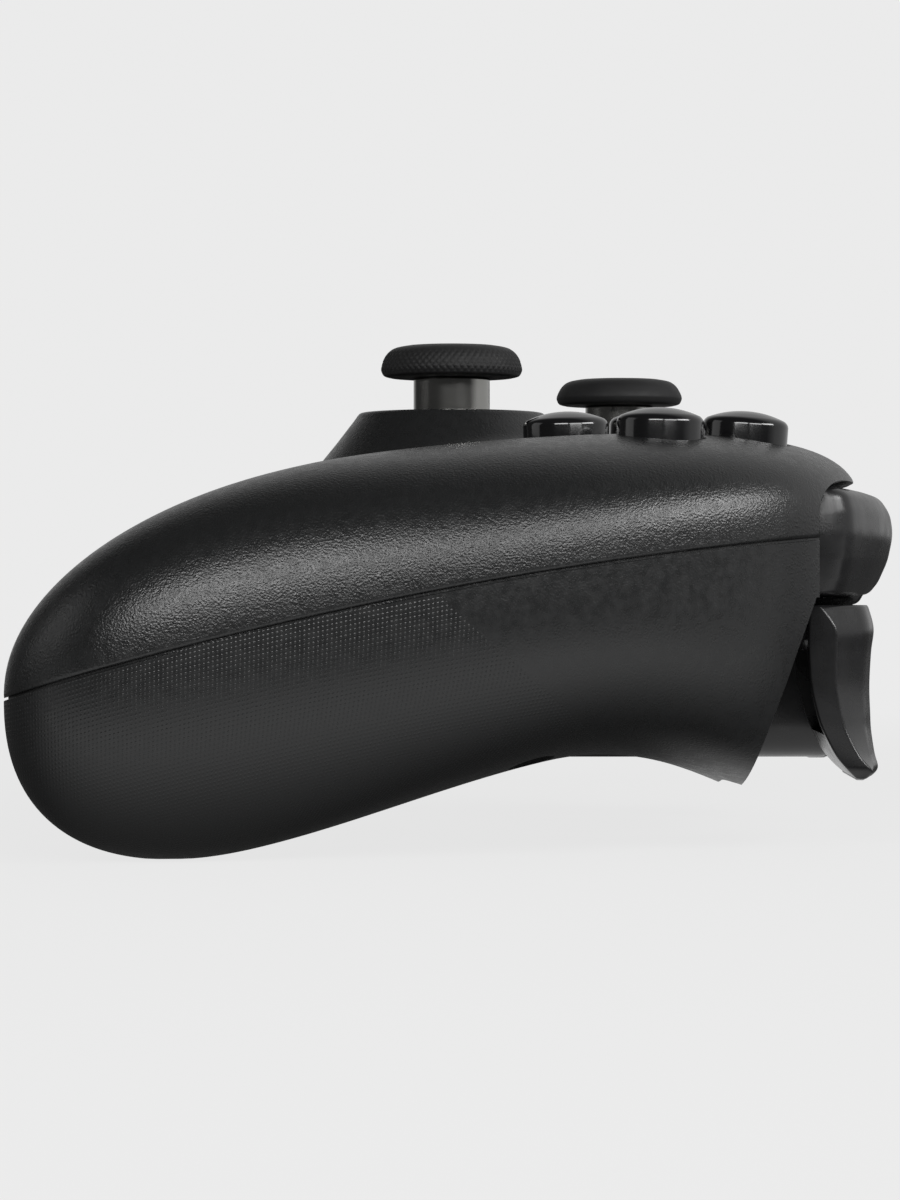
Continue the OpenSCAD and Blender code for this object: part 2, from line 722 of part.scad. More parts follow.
module dpad() {
    color([0.06, 0.06, 0.065])
        translate([dpad_x, dpad_y, 0])
            difference() {
                union() {
                    translate([0, 0, dpad_z - 6.9]) cross_bar(dpad_w, dpad_arm, 6.9 + dpad_rise, 1);
                    translate([0, 0, dpad_z - 7.8]) cylinder(r = dpad_w / 2 - 2.6, h = 1);
                    for (y = [-1, 1])
                        plate([-1.9, 4.9 * y - 0.8, dpad_pin_z - 1.9], [1.9, 4.9 * y + 0.8, dpad_z - 7]);
                }
                translate([0, 0, dpad_z + dpad_rise + 21.4]) sphere(r = 22.6, $fn = 60);
                translate([0, 10, dpad_pin_z]) rotate([90, 0, 0]) cylinder(r = 1.05, h = 20);
            }
}
// Cross-shaped pivot between the post's fork and the pad's lugs
module dpad_pivot() {
    color([0.6, 0.6, 0.62])
        translate([dpad_x, dpad_y, dpad_pin_z])
            union() {
                translate([0, 0, -1.5]) cylinder(r = 2, h = 3);
                translate([-4.8, 0, 0]) rotate([0, 90, 0]) cylinder(r = 1, h = 9.6);
                translate([0, 5.9, 0]) rotate([90, 0, 0]) cylinder(r = 1, h = 11.8);
            }
}
module dpad_post() {
    color([0.16, 0.16, 0.17])
        translate([dpad_x, dpad_y, 0])
            difference() {
                union() {
                    plate([-5.2, -2.6, board_z], [5.2, 2.6, board_z + 1.2]);
                    for (x = [-1, 1])
                        plate([4.1 * x - 0.8, -1.7, board_z], [4.1 * x + 0.8, 1.7, dpad_pin_z + 1.5]);
                }
                translate([-10, 0, dpad_pin_z]) rotate([0, 90, 0]) cylinder(r = 1.05, h = 20);
            }
}
module dpad_membrane() {
    color([0.75, 0.75, 0.73])
        translate([dpad_x, dpad_y, board_z])
            union() {
                difference() {
                    cylinder(r = dpad_w / 2 + 1.45, h = 1);
                    translate([0, 0, -1]) cylinder(r = 5.9, h = 4);
                }
                for (a = [0:90:270])
                    rotate(a)
                        translate([dpad_w / 2 - 1.75, 0, 1])
                            cylinder(r1 = 2.9, r2 = 1.7, h = dpad_z - 9.1 - board_z);
            }
}
switch_top = board_z + 3.8;
module small_button(x) {
    color([0.05, 0.05, 0.05])
        translate([x, small_y, skin_z(x, small_y)])
            round_button(small_d, 0.6, 0.5, drop_to(x, small_y, switch_top + 0.6));
}
module menu_button() {
    small_button(small_x);
}
module view_button() {
    small_button(-small_x);
}
module home_button() {
    color([0.05, 0.05, 0.055])
        translate([0, home_y, skin_z(0, home_y)])
            round_button(home_d, 0.4, 0.7, drop_to(0, home_y, switch_top + 0.6));
}
module share_button() {
    z = skin_z(0, share_y);
    color([0.05, 0.05, 0.05])
        translate([0, share_y, z])
            union() {
                translate([0, 0, -wall - 1.7]) obround(share_w, 3.6, wall + 2.5);
                translate([0, 0, -wall - 2.7]) obround(share_w + 2, 5.6, 1.1);
                translate([0, 0, switch_top + 0.6 - z]) cylinder(r = 1.2, h = z - switch_top - wall - 3.2);
            }
}
module pair_button() {
    color([0.05, 0.05, 0.05])
        translate([pair_x, band_y - 0.1, pair_z])
            rotate([90, 0, 0]) {
                cylinder(r = 1.5, h = 4.8);
                translate([0, 0, 4.6]) cylinder(r = 2.4, h = 1);
                translate([0, 0, 5.6]) cylinder(r = 0.9, h = 2);
            }
}
module tact_switches() {
    color([0.2, 0.2, 0.22]) {
        for (p = [[small_x, small_y], [-small_x, small_y], [0, home_y], [0, share_y]]) {
            plate([p.x - 2.4, p.y - 2.4, board_z], [p.x + 2.4, p.y + 2.4, board_z + 3]);
            translate([p.x, p.y, board_z + 3]) cylinder(r = 1.6, h = switch_top - board_z - 3);
        }
        plate([pair_x - 2.4, band_y - 11.7, board_z], [pair_x + 2.4, band_y - 9.3, pair_z + 2]);
        translate([pair_x, band_y - 9.3, pair_z]) rotate([-90, 0, 0]) cylinder(r = 1, h = 0.9);
    }
}

// Thumb stick: everything is measured from its pivot
module at_pivot(side) {
    translate([side > 0 ? rstick_x : lstick_x, side > 0 ? rstick_y : lstick_y, pivot_z])
        children();
}
module stick_cap(side) {
    r = cap_d / 2;
    h = side > 0 ? cap_h : lcap_h;
    low = pivot_drop + (side > 0 ? cap_rise : lcap_rise);
    domed = [[r - 1.6, h - 0.4], [r - 3.1, h - 0.1], [0, h]];
    dished = [[r - 1.4, h - 0.1], [r - 2.4, h - 0.15], [r - 4.6, h - 0.7], [0, h - 0.9]];
    crown = side > 0 ? domed : dished;
    color([0.05, 0.05, 0.05])
        at_pivot(side)
            translate([0, 0, low])
                rotate_extrude($fn = 72)
                    polygon(concat([[3, 0], [r - 1.7, 0], [r - 0.6, 0.35], [r - 0.1, 0.9], [r, 1.6],
                        [r - 0.2, h - 1.8], [r - 0.8, h - 0.95]], crown, [[0, 2.2], [3, 2.2]]));
}
module stick_shaft(side) {
    low = pivot_drop + (side > 0 ? cap_rise : lcap_rise);
    color([0.55, 0.55, 0.57])
        at_pivot(side)
            rotate_extrude()
                polygon([[0, -2.6], [1.8, -2.6], [1.8, 4.4], [shaft_d / 2, 6.6], [shaft_d / 2, low], [3, low],
                    [3, low + 2.2], [0, low + 2.2]]);
}
module stick_skirt(side) {
    a = asin(shaft_d / 2 / skirt_r);
    b = asin(shaft_d / 2 / (skirt_r - 0.9));
    color([0.04, 0.04, 0.045])
        at_pivot(side)
            rotate_extrude()
                polygon(concat(
                    [for (i = [0:10]) let (t = mix(a, 63, i / 10)) skirt_r * [sin(t), cos(t)]],
                    [for (i = [0:10]) let (t = mix(63, b, i / 10)) (skirt_r - 0.9) * [sin(t), cos(t)]]));
}
module stick_rocker(side) {
    color([0.8, 0.8, 0.78])
        at_pivot(side)
            difference() {
                union() {
                    translate([0, 0, -1.5]) cylinder(r = 3.3, h = 3);
                    translate([0, 5, 0]) rotate([90, 0, 0]) cylinder(r = 0.8, h = 10);
                }
                translate([0, 0, -5]) cylinder(r = 1.85, h = 10);
            }
}
module stick_yoke(side) {
    color([0.3, 0.3, 0.32])
        at_pivot(side)
            difference() {
                union() {
                    translate([0, 0, -1.2]) cylinder(r = 5.6, h = 2.4);
                    translate([-7.6, 0, 0]) rotate([0, 90, 0]) cylinder(r = 0.9, h = 15.2);
                }
                translate([0, 0, -5]) cylinder(r = 4.2, h = 10);
                translate([0, 10, 0]) rotate([90, 0, 0]) cylinder(r = 0.85, h = 20);
            }
}
module stick_base(side) {
    w = module_w / 2;
    color([0.25, 0.25, 0.27])
        at_pivot(side)
            difference() {
                plate([-w, -w, -pivot_rise], [w, w, 0.9 + 0.9]);
                plate([1.5 - w, 1.5 - w, 1.2 - pivot_rise], [w - 1.5, w - 1.5, 10]);
                translate([-20, 0, 0]) rotate([0, 90, 0]) cylinder(r = 0.95, h = 40);
                difference() {
                    plate([-20, -20, 0.3], [20, 20, 10]);
                    translate([0, 0, -1]) plate([-20, -1.8, 0], [20, 1.8, 12]);
                }
            }
}
module right_stick_cap() {
    stick_cap(1);
}
module left_stick_cap() {
    stick_cap(-1);
}
module right_stick_shaft() {
    stick_shaft(1);
}
module left_stick_shaft() {
    stick_shaft(-1);
}
module right_stick_skirt() {
    stick_skirt(1);
}
module left_stick_skirt() {
    stick_skirt(-1);
}
module right_stick_rocker() {
    stick_rocker(1);
}
module left_stick_rocker() {
    stick_rocker(-1);
}
module right_stick_yoke() {
    stick_yoke(1);
}
module left_stick_yoke() {
    stick_yoke(-1);
}
module right_stick_base() {
    stick_base(1);
}
module left_stick_base() {
    stick_base(-1);
}

module main_board() {
    side = notch_y - 3.6;
    front = notch_y + 2.2;
    right = [[11, arch_y + 4.6], [11, arch_y + 6.4], [40, arch_y + 6.4], [46, -8], [half_w - 24, 2],
        [half_w - 24, side - 12.4], [half_w - 28, side]];
    left = [for (i = [len(right) - 1:-1:0]) [-right[i].x, right[i].y]];
    color([0.04, 0.22, 0.1])
        difference() {
            translate([0, 0, board_z - board_t])
                linear_extrude(height = board_t)
                    polygon(concat(right, [[11, side], [11, front], [-11, front], [-11, side]], left));
            pair()
                for (p = board_posts_at)
                    translate([p.x, p.y, board_z - 5]) cylinder(r = 1.2, h = 10);
        }
}
module board_screws() {
    color([0.7, 0.7, 0.72])
        pair()
            for (p = board_posts_at)
                translate([p.x, p.y, 0]) {
                    translate([0, 0, board_z]) cylinder(r = 2, h = 1.3);
                    translate([0, 0, board_z - 7]) cylinder(r = 1, h = 7.2);
                }
}
module case_screws() {
    color([0.3, 0.3, 0.32])
        pair()
            for (p = case_screws_at)
                translate([p.x, p.y, 0])
                    difference() {
                        union() {
                            translate([0, 0, seat(p) - 1.7]) cylinder(r = 2.3, h = 1.7);
                            translate([0, 0, seat(p) - 0.2]) cylinder(r = 1.1, h = screw_l);
                        }
                        for (a = [0, 90])
                            rotate(a) plate([-1.4, -0.3, seat(p) - 2.5], [1.4, 0.3, seat(p) - 0.8]);
                    }
}
module battery_pack() {
    color([0.35, 0.37, 0.42])
        union() {
            plate([-pack_w / 2, pack_y, pack_z], [pack_w / 2, pack_y + pack_l, pack_z + pack_t]);
            plate([-6, pack_y + pack_l, pack_z + 2], [6, pack_y + pack_l + 1.2, pack_z + pack_t - 1]);
        }
}
module rumble_motor() {
    color([0.65, 0.65, 0.67])
        translate(motor_at)
            rotate([0, 90, 0]) {
                cylinder(d = motor_d, h = motor_l - 0.2);
                translate([0, 0, motor_l - 0.4]) cylinder(d = 4, h = 0.8);
                translate([0, 0, motor_l - 0.4]) cylinder(d = 1.6, h = 7);
            }
}
module rumble_weight() {
    color([0.5, 0.5, 0.52])
        translate([motor_at.x + motor_l + 0.8, motor_at.y, motor_at.z])
            rotate([0, 90, 0])
                difference() {
                    union() {
                        intersection() {
                            cylinder(r = weight_r, h = 4.6);
                            plate([0, -20, -1], [20, 20, 10]);
                        }
                        cylinder(r = 2.6, h = 4.6);
                    }
                    translate([0, 0, -1]) cylinder(d = 1.7, h = 10);
                }
}
module right_rumble_motor() {
    rumble_motor();
}
module left_rumble_motor() {
    mirror([1, 0, 0]) rumble_motor();
}
module right_rumble_weight() {
    rumble_weight();
}
module left_rumble_weight() {
    mirror([1, 0, 0]) rumble_weight();
}
// Charging socket: a metal sleeve with its tongue
module usb_socket() {
    color([0.7, 0.7, 0.72])
        translate([0, band_y - 1.6, usb_z])
            rotate([90, 0, 0]) {
                difference() {
                    obround(8.9, 3.2, 10);
                    translate([0, 0, -1]) obround(8.3, 2.6, 9.4);
                }
                plate([-3.3, -0.35, 1.2], [3.3, 0.35, 9]);
            }
}
module headset_jack() {
    color([0.08, 0.08, 0.085])
        difference() {
            union() {
                plate([-3.6, arch_y + 3.8, jack_z - 3.6], [3.6, arch_y + jack_l + 1.4, board_z - board_t]);
                translate([0, arch_y + 4, jack_z]) rotate([90, 0, 0]) cylinder(r = 3.1, h = 3.6);
            }
            translate([0, arch_y + 0.4 + jack_l, jack_z])
                rotate([90, 0, 0]) cylinder(d = jack_d, h = jack_l + 4);
        }
}

top_shell();
bottom_shell();
belly_cover();
bridge_cover();
left_bumper();
right_bumper();
bumper_pins();
bumper_switches();
left_trigger();
right_trigger();
trigger_brackets();
trigger_axles();
left_trigger_spring();
right_trigger_spring();
face_button_south();
face_button_east();
face_button_west();
face_button_north();
face_membrane();
dpad();
dpad_pivot();
dpad_post();
dpad_membrane();
view_button();
menu_button();
share_button();
home_button();
pair_button();
tact_switches();
left_stick_cap();
right_stick_cap();
left_stick_shaft();
right_stick_shaft();
left_stick_skirt();
right_stick_skirt();
left_stick_rocker();
right_stick_rocker();
left_stick_yoke();
right_stick_yoke();
left_stick_base();
right_stick_base();
main_board();
board_screws();
case_screws();
battery_pack();
left_rumble_motor();
right_rumble_motor();
left_rumble_weight();
right_rumble_weight();
usb_socket();
headset_jack();
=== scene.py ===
"""A wireless game controller for a studio picture, laid out as an add-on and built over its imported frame."""

import math
from types import SimpleNamespace

import bmesh
import bpy
import numpy as np
from mathutils import Matrix, Vector
from mathutils.kdtree import KDTree


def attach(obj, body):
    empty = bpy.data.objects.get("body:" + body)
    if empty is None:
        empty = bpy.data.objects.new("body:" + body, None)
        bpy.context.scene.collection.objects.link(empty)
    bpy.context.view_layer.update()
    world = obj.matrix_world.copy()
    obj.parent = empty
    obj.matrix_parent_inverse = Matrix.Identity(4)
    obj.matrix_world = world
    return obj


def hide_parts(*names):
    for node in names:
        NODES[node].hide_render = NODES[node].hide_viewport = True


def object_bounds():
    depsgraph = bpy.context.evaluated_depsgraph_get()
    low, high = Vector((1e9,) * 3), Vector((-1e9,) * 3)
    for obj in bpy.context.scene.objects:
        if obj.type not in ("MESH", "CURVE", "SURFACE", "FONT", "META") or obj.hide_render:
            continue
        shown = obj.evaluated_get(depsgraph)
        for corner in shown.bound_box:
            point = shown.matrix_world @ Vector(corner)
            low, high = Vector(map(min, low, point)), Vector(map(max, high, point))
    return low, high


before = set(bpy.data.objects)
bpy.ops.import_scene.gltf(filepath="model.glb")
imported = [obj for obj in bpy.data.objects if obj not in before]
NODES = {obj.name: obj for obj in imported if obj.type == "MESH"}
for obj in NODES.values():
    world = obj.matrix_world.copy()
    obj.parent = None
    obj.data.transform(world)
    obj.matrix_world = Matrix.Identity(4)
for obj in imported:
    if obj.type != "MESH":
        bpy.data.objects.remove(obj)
CAD_BOX = [list(corner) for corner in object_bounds()]

bl_info = {
    "name": "Game Controller",
    "version": (1, 0, 0),
    "blender": (4, 5, 0),
    "location": "View3D > Sidebar > Controller",
    "description": "Builds the casing, sticks, buttons and triggers of a game controller over its frame",
    "category": "Add Mesh",
}

# Sizes of the casing in millimetres, as the frame has them
HALF_W, FRONT, TAIL, ARCH, TAIL_X = 76.5, 47.8, -52.0, -21.0, 62.7
CREST, LOW, BELLY, DOME_H, GRIP_H = -18.0, -23.0, 11.6, 17.5, 24.4
NOTCH_Y, NOTCH_Z, NOTCH_R = 40.0, 42.85, 4.0
BAND_Y, BAND_TOP, BAND_LOW, BAND_REAR = 51.9, 42.2, 29.4, 39.1
BRIDGE_W, BRIDGE_DEEP, BAND_W, PIN_X, PIN_Y = 13.7, 1.2, 48.3, 16.7, 42.2
TRIG_IN, TRIG_OUT, TRIG_TOP, TRIG_TIP, AXLE_Y, AXLE_Z = 21.6, 46.4, 28.3, 7.9, 36.9, 25.6
BAY_X, BAY_LOW, BAY_HIGH, BAY_REAR = 15.0, (31.2, 6.4), (39.6, 29.2), 29.4
RIM_Z, PIVOT_Z, BOARD_Z = 51.7275, 37.5275, 31.3275
STICKS = {"right": (21.0, -1.9), "left": (-42.0, 21.2)}
FACE = {"south": (40.5, 11.5), "east": (51.0, 22.0), "west": (30.0, 22.0), "north": (40.5, 32.5)}
COLLAR_HOLE, COLLAR_D, CAP_D, SHAFT_D = 20.8, 23.2, 17.2, 9.3
USB_Z, JACK_Z, PAIR_X, PAIR_Z = 32.9775, 25.3275, 8.6, 36.6775
PAD_X, PAD_Y, SMALL_X, SMALL_Y, SHARE_Y, HOME_Y = -21.0, -1.9, 12.5, 21.0, 12.0, 32.6
FACE_D, FACE_HOLE_R, SMALL_D, SMALL_HOLE_R, HOME_D, HOME_HOLE_R = 10.0, 5.35, 5.6, 3.15, 12.0, 6.35
LEVEL_Y, LEVEL_R = 17.5, 200  # where a face button stands upright, and the radius that they all lean by
PAD_W, PAD_ARM, PAD_HOLE_W, PAD_HOLE_ARM = 21.5, 7.2, 23.8, 9.5
SKIRT_OUT, SKIRT_IN, SKIRT_TURN = 11.2, 10.3, 63
SCREW_SEATS = ((59, 7, 14.49), (-59, 7, 14.49), (57, -37, 4.87), (-57, -37, 4.87))
WALL, CORE_INSET = 1.2, 1.0   # the outer skin's thickness, and where the inner side starts
FIT = 0.3                     # room round a fitted piece
KEY_HOLE_DEEP = 8             # how far a button's opening is cut down
FAR = 96                      # outside the casing on either side
MM = 0.001                    # a millimetre in metres
HALVINGS = 24                 # steps of a search by halving
CREASE = 32                   # degrees from which an edge is sharp

# Name, place, aim, width and height in metres, and watts
LIGHTS = (("rear_key", (0.77, -0.17, 0.38), (0, 0, 0.035), 0.5, 0.18, 3.0),
          ("front_key", (0.72, 0.35, 0.345), (0, 0, 0.035), 0.45, 0.18, 2.3),
          ("side_key", (0.37, 0.7, 0.385), (0, 0, 0.035), 0.5, 0.18, 3.4),
          ("tail_light", (0.0, -0.9, 0.4), (0, 0, 0.05), 0.5, 0.5, 0.5))
CAMERA_AT, CAMERA_LENS, CAMERA_SENSOR = (0.515, -0.0021, 0.0289), 121.3, 36
FLOOR_HALF, FLOOR_Z = 4000, -0.25

# The casing's edge in plan, from the middle of the front round the right grip to the arch
EDGE = np.array([
    (-21, FRONT - 0.2), (0, FRONT), (21, FRONT - 0.2), (HALF_W - 35.5, FRONT - 2.2), (HALF_W - 18, FRONT - 10.7),
    (HALF_W - 7, FRONT - 27.2), (HALF_W - 1.5, FRONT - 46.2), (HALF_W, TAIL + 33.3), (TAIL_X + 12, TAIL + 10.3),
    (TAIL_X, TAIL), (TAIL_X - 12.5, TAIL + 9.8), (TAIL_X - 18.7, TAIL + 16.8), (TAIL_X - 25.7, TAIL + 22.3),
    (22.5 + (TAIL_X - 48.2) * 0.52, ARCH - 5.6), (22.5, ARCH - 2.8), (15, ARCH - 1), (7.5, ARCH - 0.2),
    (0, ARCH), (-7.5, ARCH - 0.2)])


# ---- the casing's surface ----

def mix(a, b, t):
    return a + (b - a) * t


def ease(v, lo, hi):
    t = np.clip((v - lo) / (hi - lo), 0, 1)
    return t * t * (3 - 2 * t)


def round_off(u, n):
    return np.maximum(0, 1 - np.minimum(1, np.abs(u)) ** n) ** (1 / n)


def spline(a, b, c, d, f):
    """The point at f between b and c on the smooth line through four points."""
    return b + (c - a) * f / 2 + (2 * a - 5 * b + 4 * c - d) * f * f / 2 + (3 * b - a - 3 * c + d) * f ** 3 / 2


def unit(v):
    return v / np.maximum(np.linalg.norm(v, axis=-1, keepdims=True), 1e-9)


def edge_at(t):
    i = np.clip(np.floor(t), 0, len(EDGE) - 4).astype(int)
    return spline(EDGE[i], EDGE[i + 1], EDGE[i + 2], EDGE[i + 3], (t - i)[..., None])


def rim(t, inset):
    """The edge in plan, moved inwards."""
    d = edge_at(t + 0.01) - edge_at(t - 0.01)
    return edge_at(t) + inset * unit(np.stack([d[..., 1], -d[..., 0]], -1))


def seam(y):
    """Height of the line where the two halves meet."""
    return 30.45 + 0.183 * y - y * y / 854


def rise(x, y, inset):
    """Height of the upper half over the seam."""
    t = np.maximum(0, y - CREST)
    tail = np.where(y < CREST, round_off((CREST - y) / (CREST - TAIL - inset), 2.3), 1)
    return (DOME_H - inset) * tail - 0.09 * t * t / (t + 10) - 5 * (1 - ease(np.abs(x), 8, 42)) * ease(-y, -11, 21)


def fall(x, y, inset):
    """Depth of the lower half under the seam."""
    tail = (GRIP_H - inset) * round_off((LOW - y) / (LOW - TAIL - inset), 2.2)
    horn = GRIP_H - inset - 2.9 * ease(y, LOW, 13) + 8 * np.maximum(0, (y - 9) / 22.4) ** 2.2
    grip = np.where(y < LOW, tail, horn)
    return mix(seam(y) - BELLY - inset, grip, ease(np.abs(x), 20, 40))


def squareness(s, above):
    """How boxy the section is, from the middle to the tails."""
    return np.where(above, mix(3.7, 2.3, ease(s, 0.15, 0.75)), mix(4, 2.25, ease(s, 0.25, 0.8)))


def surface(s, turn, inset):
    """Points of the casing: s runs from the left tail to the right one, turn goes round the section."""
    a = np.abs(s)
    o, i = rim(8 * a, inset), rim(16 - 8 * a, inset)
    c, v = np.cos(turn), np.sin(turn)
    n = squareness(a, v >= 0)
    reach = (np.abs(c) ** n + np.abs(v) ** n) ** (-1 / n)
    p = (o + i) / 2 + (o - i) / 2 * (c * reach)[..., None]
    x, y = p[..., 0], p[..., 1]
    z = seam(y) + v * reach * np.where(v >= 0, rise(x, y, inset), fall(x, y, inset))
    return np.stack([np.where(s < 0, -x, x), y, z], -1)


def skin_z(x, y, below=False):
    """Height of the casing's upper or lower face over places in plan."""
    p = np.stack([np.abs(x), y], -1).astype(float)
    lo, hi = np.zeros(p.shape[:-1]), np.ones(p.shape[:-1])
    for _ in range(HALVINGS):
        m = (lo + hi) / 2
        o, i = rim(8 * m, 0), rim(16 - 8 * m, 0)
        ab, ap = o - i, p - i
        ahead = ab[..., 0] * ap[..., 1] - ab[..., 1] * ap[..., 0] < 0
        lo, hi = np.where(ahead, m, lo), np.where(ahead, hi, m)
    o, i = rim(8 * lo, 0), rim(16 - 8 * lo, 0)
    u = np.sum((p - (o + i) / 2) * (o - i), -1) * 2 / np.sum((o - i) ** 2, -1)
    if below:
        return seam(y) - fall(x, y, 0) * round_off(u, squareness(lo, False))
    return seam(y) + rise(x, y, 0) * round_off(u, squareness(lo, True))


def on_skin(x, y):
    """The point of the upper face over a place in plan."""
    return x, y, float(skin_z(x, y))


def stations(n):
    """Places of the sections from tail to tail, closer together towards the tails."""
    return np.array([math.copysign((abs(i) / n) ** 0.88, i) for i in range(-n, n + 1)])


def angles(count):
    return np.arange(count) * 2 * math.pi / count


def clear_of_seam(p, side, gap):
    """Points of one half, kept on its own side of the seam's gap."""
    line = seam(p[..., 1]) + side * gap
    p[..., 2] = np.maximum(p[..., 2], line) if side > 0 else np.minimum(p[..., 2], line)
    return p


# ---- meshes ----

def placed(name, data):
    """A new object in the scene."""
    obj = bpy.data.objects.new(name, data)
    bpy.context.scene.collection.objects.link(obj)
    return obj


def make(name, verts, faces, smooth=True):
    """A piece from points in millimetres, with its faces turned outwards."""
    mesh = bpy.data.meshes.new(name)
    mesh.from_pydata([tuple(v) for v in np.asarray(verts, float) * MM], [], faces)
    mesh.update()
    obj = placed(name, mesh)
    outward(mesh)
    if smooth:
        mesh.shade_smooth()
    return obj


def outward(mesh, weld_gap=None):
    """Turns the faces outwards, after joining vertices that lie on each other where a gap is given."""
    bm = bmesh.new()
    bm.from_mesh(mesh)
    if weld_gap:
        bmesh.ops.remove_doubles(bm, verts=bm.verts, dist=weld_gap)
    bmesh.ops.recalc_face_normals(bm, faces=bm.faces)
    bm.to_mesh(mesh)
    bm.free()


def loft(name, rings, smooth=True, ends="flat"):
    """A solid through rings of points that all have the same count. Its ends are flat, joined or points."""
    rings = np.asarray(rings, float)
    m, n = rings.shape[:2]
    faces = [(i * n + j, i * n + (j + 1) % n, ((i + 1) % m) * n + (j + 1) % n, ((i + 1) % m) * n + j)
             for i in range(m if ends == "joined" else m - 1) for j in range(n)]
    if ends == "flat":
        faces += [tuple(range(n)), tuple(m * n - n + j for j in range(n))]
    obj = make(name, rings.reshape(-1, 3), faces, smooth)
    return weld(obj) if ends == "points" else obj


def weld(obj):
    """Joins vertices that lie on each other."""
    outward(obj.data, 1e-7)
    return obj


def lathe(name, profile, at, count=96, tilt=0.0, smooth=True):
    """A turned solid. The profile starts and ends on the axis or closes on itself."""
    profile = np.asarray(profile, float)
    on_axis = profile[0][0] < 1e-6 and profile[-1][0] < 1e-6
    a = angles(count)
    body = profile[1:-1] if on_axis else profile
    ring = np.stack([np.outer(np.cos(a), body[:, 0]), np.outer(np.sin(a), body[:, 0]),
                     np.tile(body[:, 1], (count, 1))], -1)
    m = len(body)
    verts = ring.reshape(-1, 3)
    faces = [(i * m + j, ((i + 1) % count) * m + j, ((i + 1) % count) * m + j + 1, i * m + j + 1)
             for i in range(count) for j in range(m - 1)]
    if on_axis:
        verts = np.vstack([verts, [(0, 0, profile[0][1]), (0, 0, profile[-1][1])]])
        for i in range(count):
            k = (i + 1) % count
            faces += [(len(verts) - 2, k * m, i * m), (i * m + m - 1, k * m + m - 1, len(verts) - 1)]
    else:
        faces += [(i * m + m - 1, ((i + 1) % count) * m + m - 1, ((i + 1) % count) * m, i * m) for i in range(count)]
    c, s = math.cos(tilt), math.sin(tilt)
    turned = np.stack([verts[:, 0], verts[:, 1] * c + verts[:, 2] * s, verts[:, 2] * c - verts[:, 1] * s], -1)
    return make(name, turned + np.asarray(at, float), faces, smooth)


def curve_through(points, steps=6, closed=False):
    """A smooth line through points, each of which may be marked as a corner by a third value of 1."""
    pts = [np.asarray(p[:2], float) for p in points]
    corner = [len(p) > 2 and p[2] for p in points]
    n, out = len(pts), []
    for i in range(n if closed else n - 1):
        b, c = pts[i], pts[(i + 1) % n]
        a = b if corner[i] or (i == 0 and not closed) else pts[i - 1]
        d = c if corner[(i + 1) % n] or (i == n - 2 and not closed) else pts[(i + 2) % n]
        out += [spline(a, b, c, d, k / steps) for k in range(steps)]
    if not closed:
        out.append(pts[-1])
    return np.array(out)


def extrude(name, outline, lo, hi, axis="x"):
    """A flat outline carried along an axis."""
    outline = np.asarray(outline, float)
    spot = "xyz".index(axis)
    return loft(name, [[tuple(np.insert(p, spot, h)) for p in outline] for h in (lo, hi)], False)


def block(name, lo, hi, r=0.0):
    """A box between two corners, with rounded edges where a radius is given."""
    verts = [(x, y, z) for x in (lo[0], hi[0]) for y in (lo[1], hi[1]) for z in (lo[2], hi[2])]
    obj = make(name, verts, [(0, 1, 3, 2), (4, 6, 7, 5), (0, 4, 5, 1), (2, 3, 7, 6), (0, 2, 6, 4), (1, 5, 7, 3)], False)
    return soften(obj, r) if r else obj


def soften(obj, width, angle=30, segments=3):
    """Rounds the sharp edges of a piece."""
    mod = obj.modifiers.new("soften", "BEVEL")
    mod.width, mod.segments = width * MM, segments
    mod.limit_method, mod.angle_limit = "ANGLE", math.radians(angle)
    mod.harden_normals = False
    return settle(obj)


def settle(obj):
    """Makes the modifiers part of the mesh."""
    seen = obj.evaluated_get(bpy.context.evaluated_depsgraph_get())
    mesh = bpy.data.meshes.new_from_object(seen)
    obj.modifiers.clear()
    obj.data = mesh
    return obj


def need_closed(obj):
    """Raises if a piece is no closed solid, because it couldn't be cut or joined."""
    bm = bmesh.new()
    bm.from_mesh(obj.data)
    loose = sum(not edge.is_manifold for edge in bm.edges)
    bm.free()
    if loose:
        raise RuntimeError("%s has %d open edges" % (obj.name, loose))


def combine(obj, tools, operation="DIFFERENCE"):
    """Cuts or joins solids, and removes the tools."""
    for piece in [obj] + tools:
        need_closed(piece)
    for tool in tools:
        mod = obj.modifiers.new("combine", "BOOLEAN")
        mod.operation, mod.solver, mod.object = operation, "MANIFOLD", tool
    settle(obj)
    for tool in tools:
        bpy.data.objects.remove(tool)
    if not obj.data.polygons:
        raise RuntimeError("nothing is left of " + obj.name)
    return obj


def copy_of(node):
    """A loose copy of a CAD node, to be cut."""
    return weld(placed(node + "_copy", NODES[node].data.copy()))


def core_of(node, inset):
    """The inner side of a CAD node: its posts, ribs and walls, away from the outer face."""
    return combine(copy_of(node), [whole(inset)], "INTERSECT")


def whole(inset):
    """The casing's whole body as a plain solid."""
    return loft("whole", surface(stations(60)[:, None], angles(96)[None, :], inset), True, "points")


def seam_lip(gap):
    """A tongue along the lower half's edge, which closes the seam from the inside."""
    t = np.concatenate([np.linspace(0, 16, 401), np.linspace(16, 0, 401)[1:-1]])
    side = np.concatenate([np.ones(401), -np.ones(399)])
    rings = []
    for inset, h in ((0.5, -0.7), (1.9, -0.7), (1.9, gap - 0.02), (0.5, gap - 0.02)):
        p = rim(t, inset)
        rings.append(np.stack([p[:, 0] * side, p[:, 1], seam(p[:, 1]) + h], -1))
    return loft("seam_lip", np.stack(rings, 1), False, "joined")


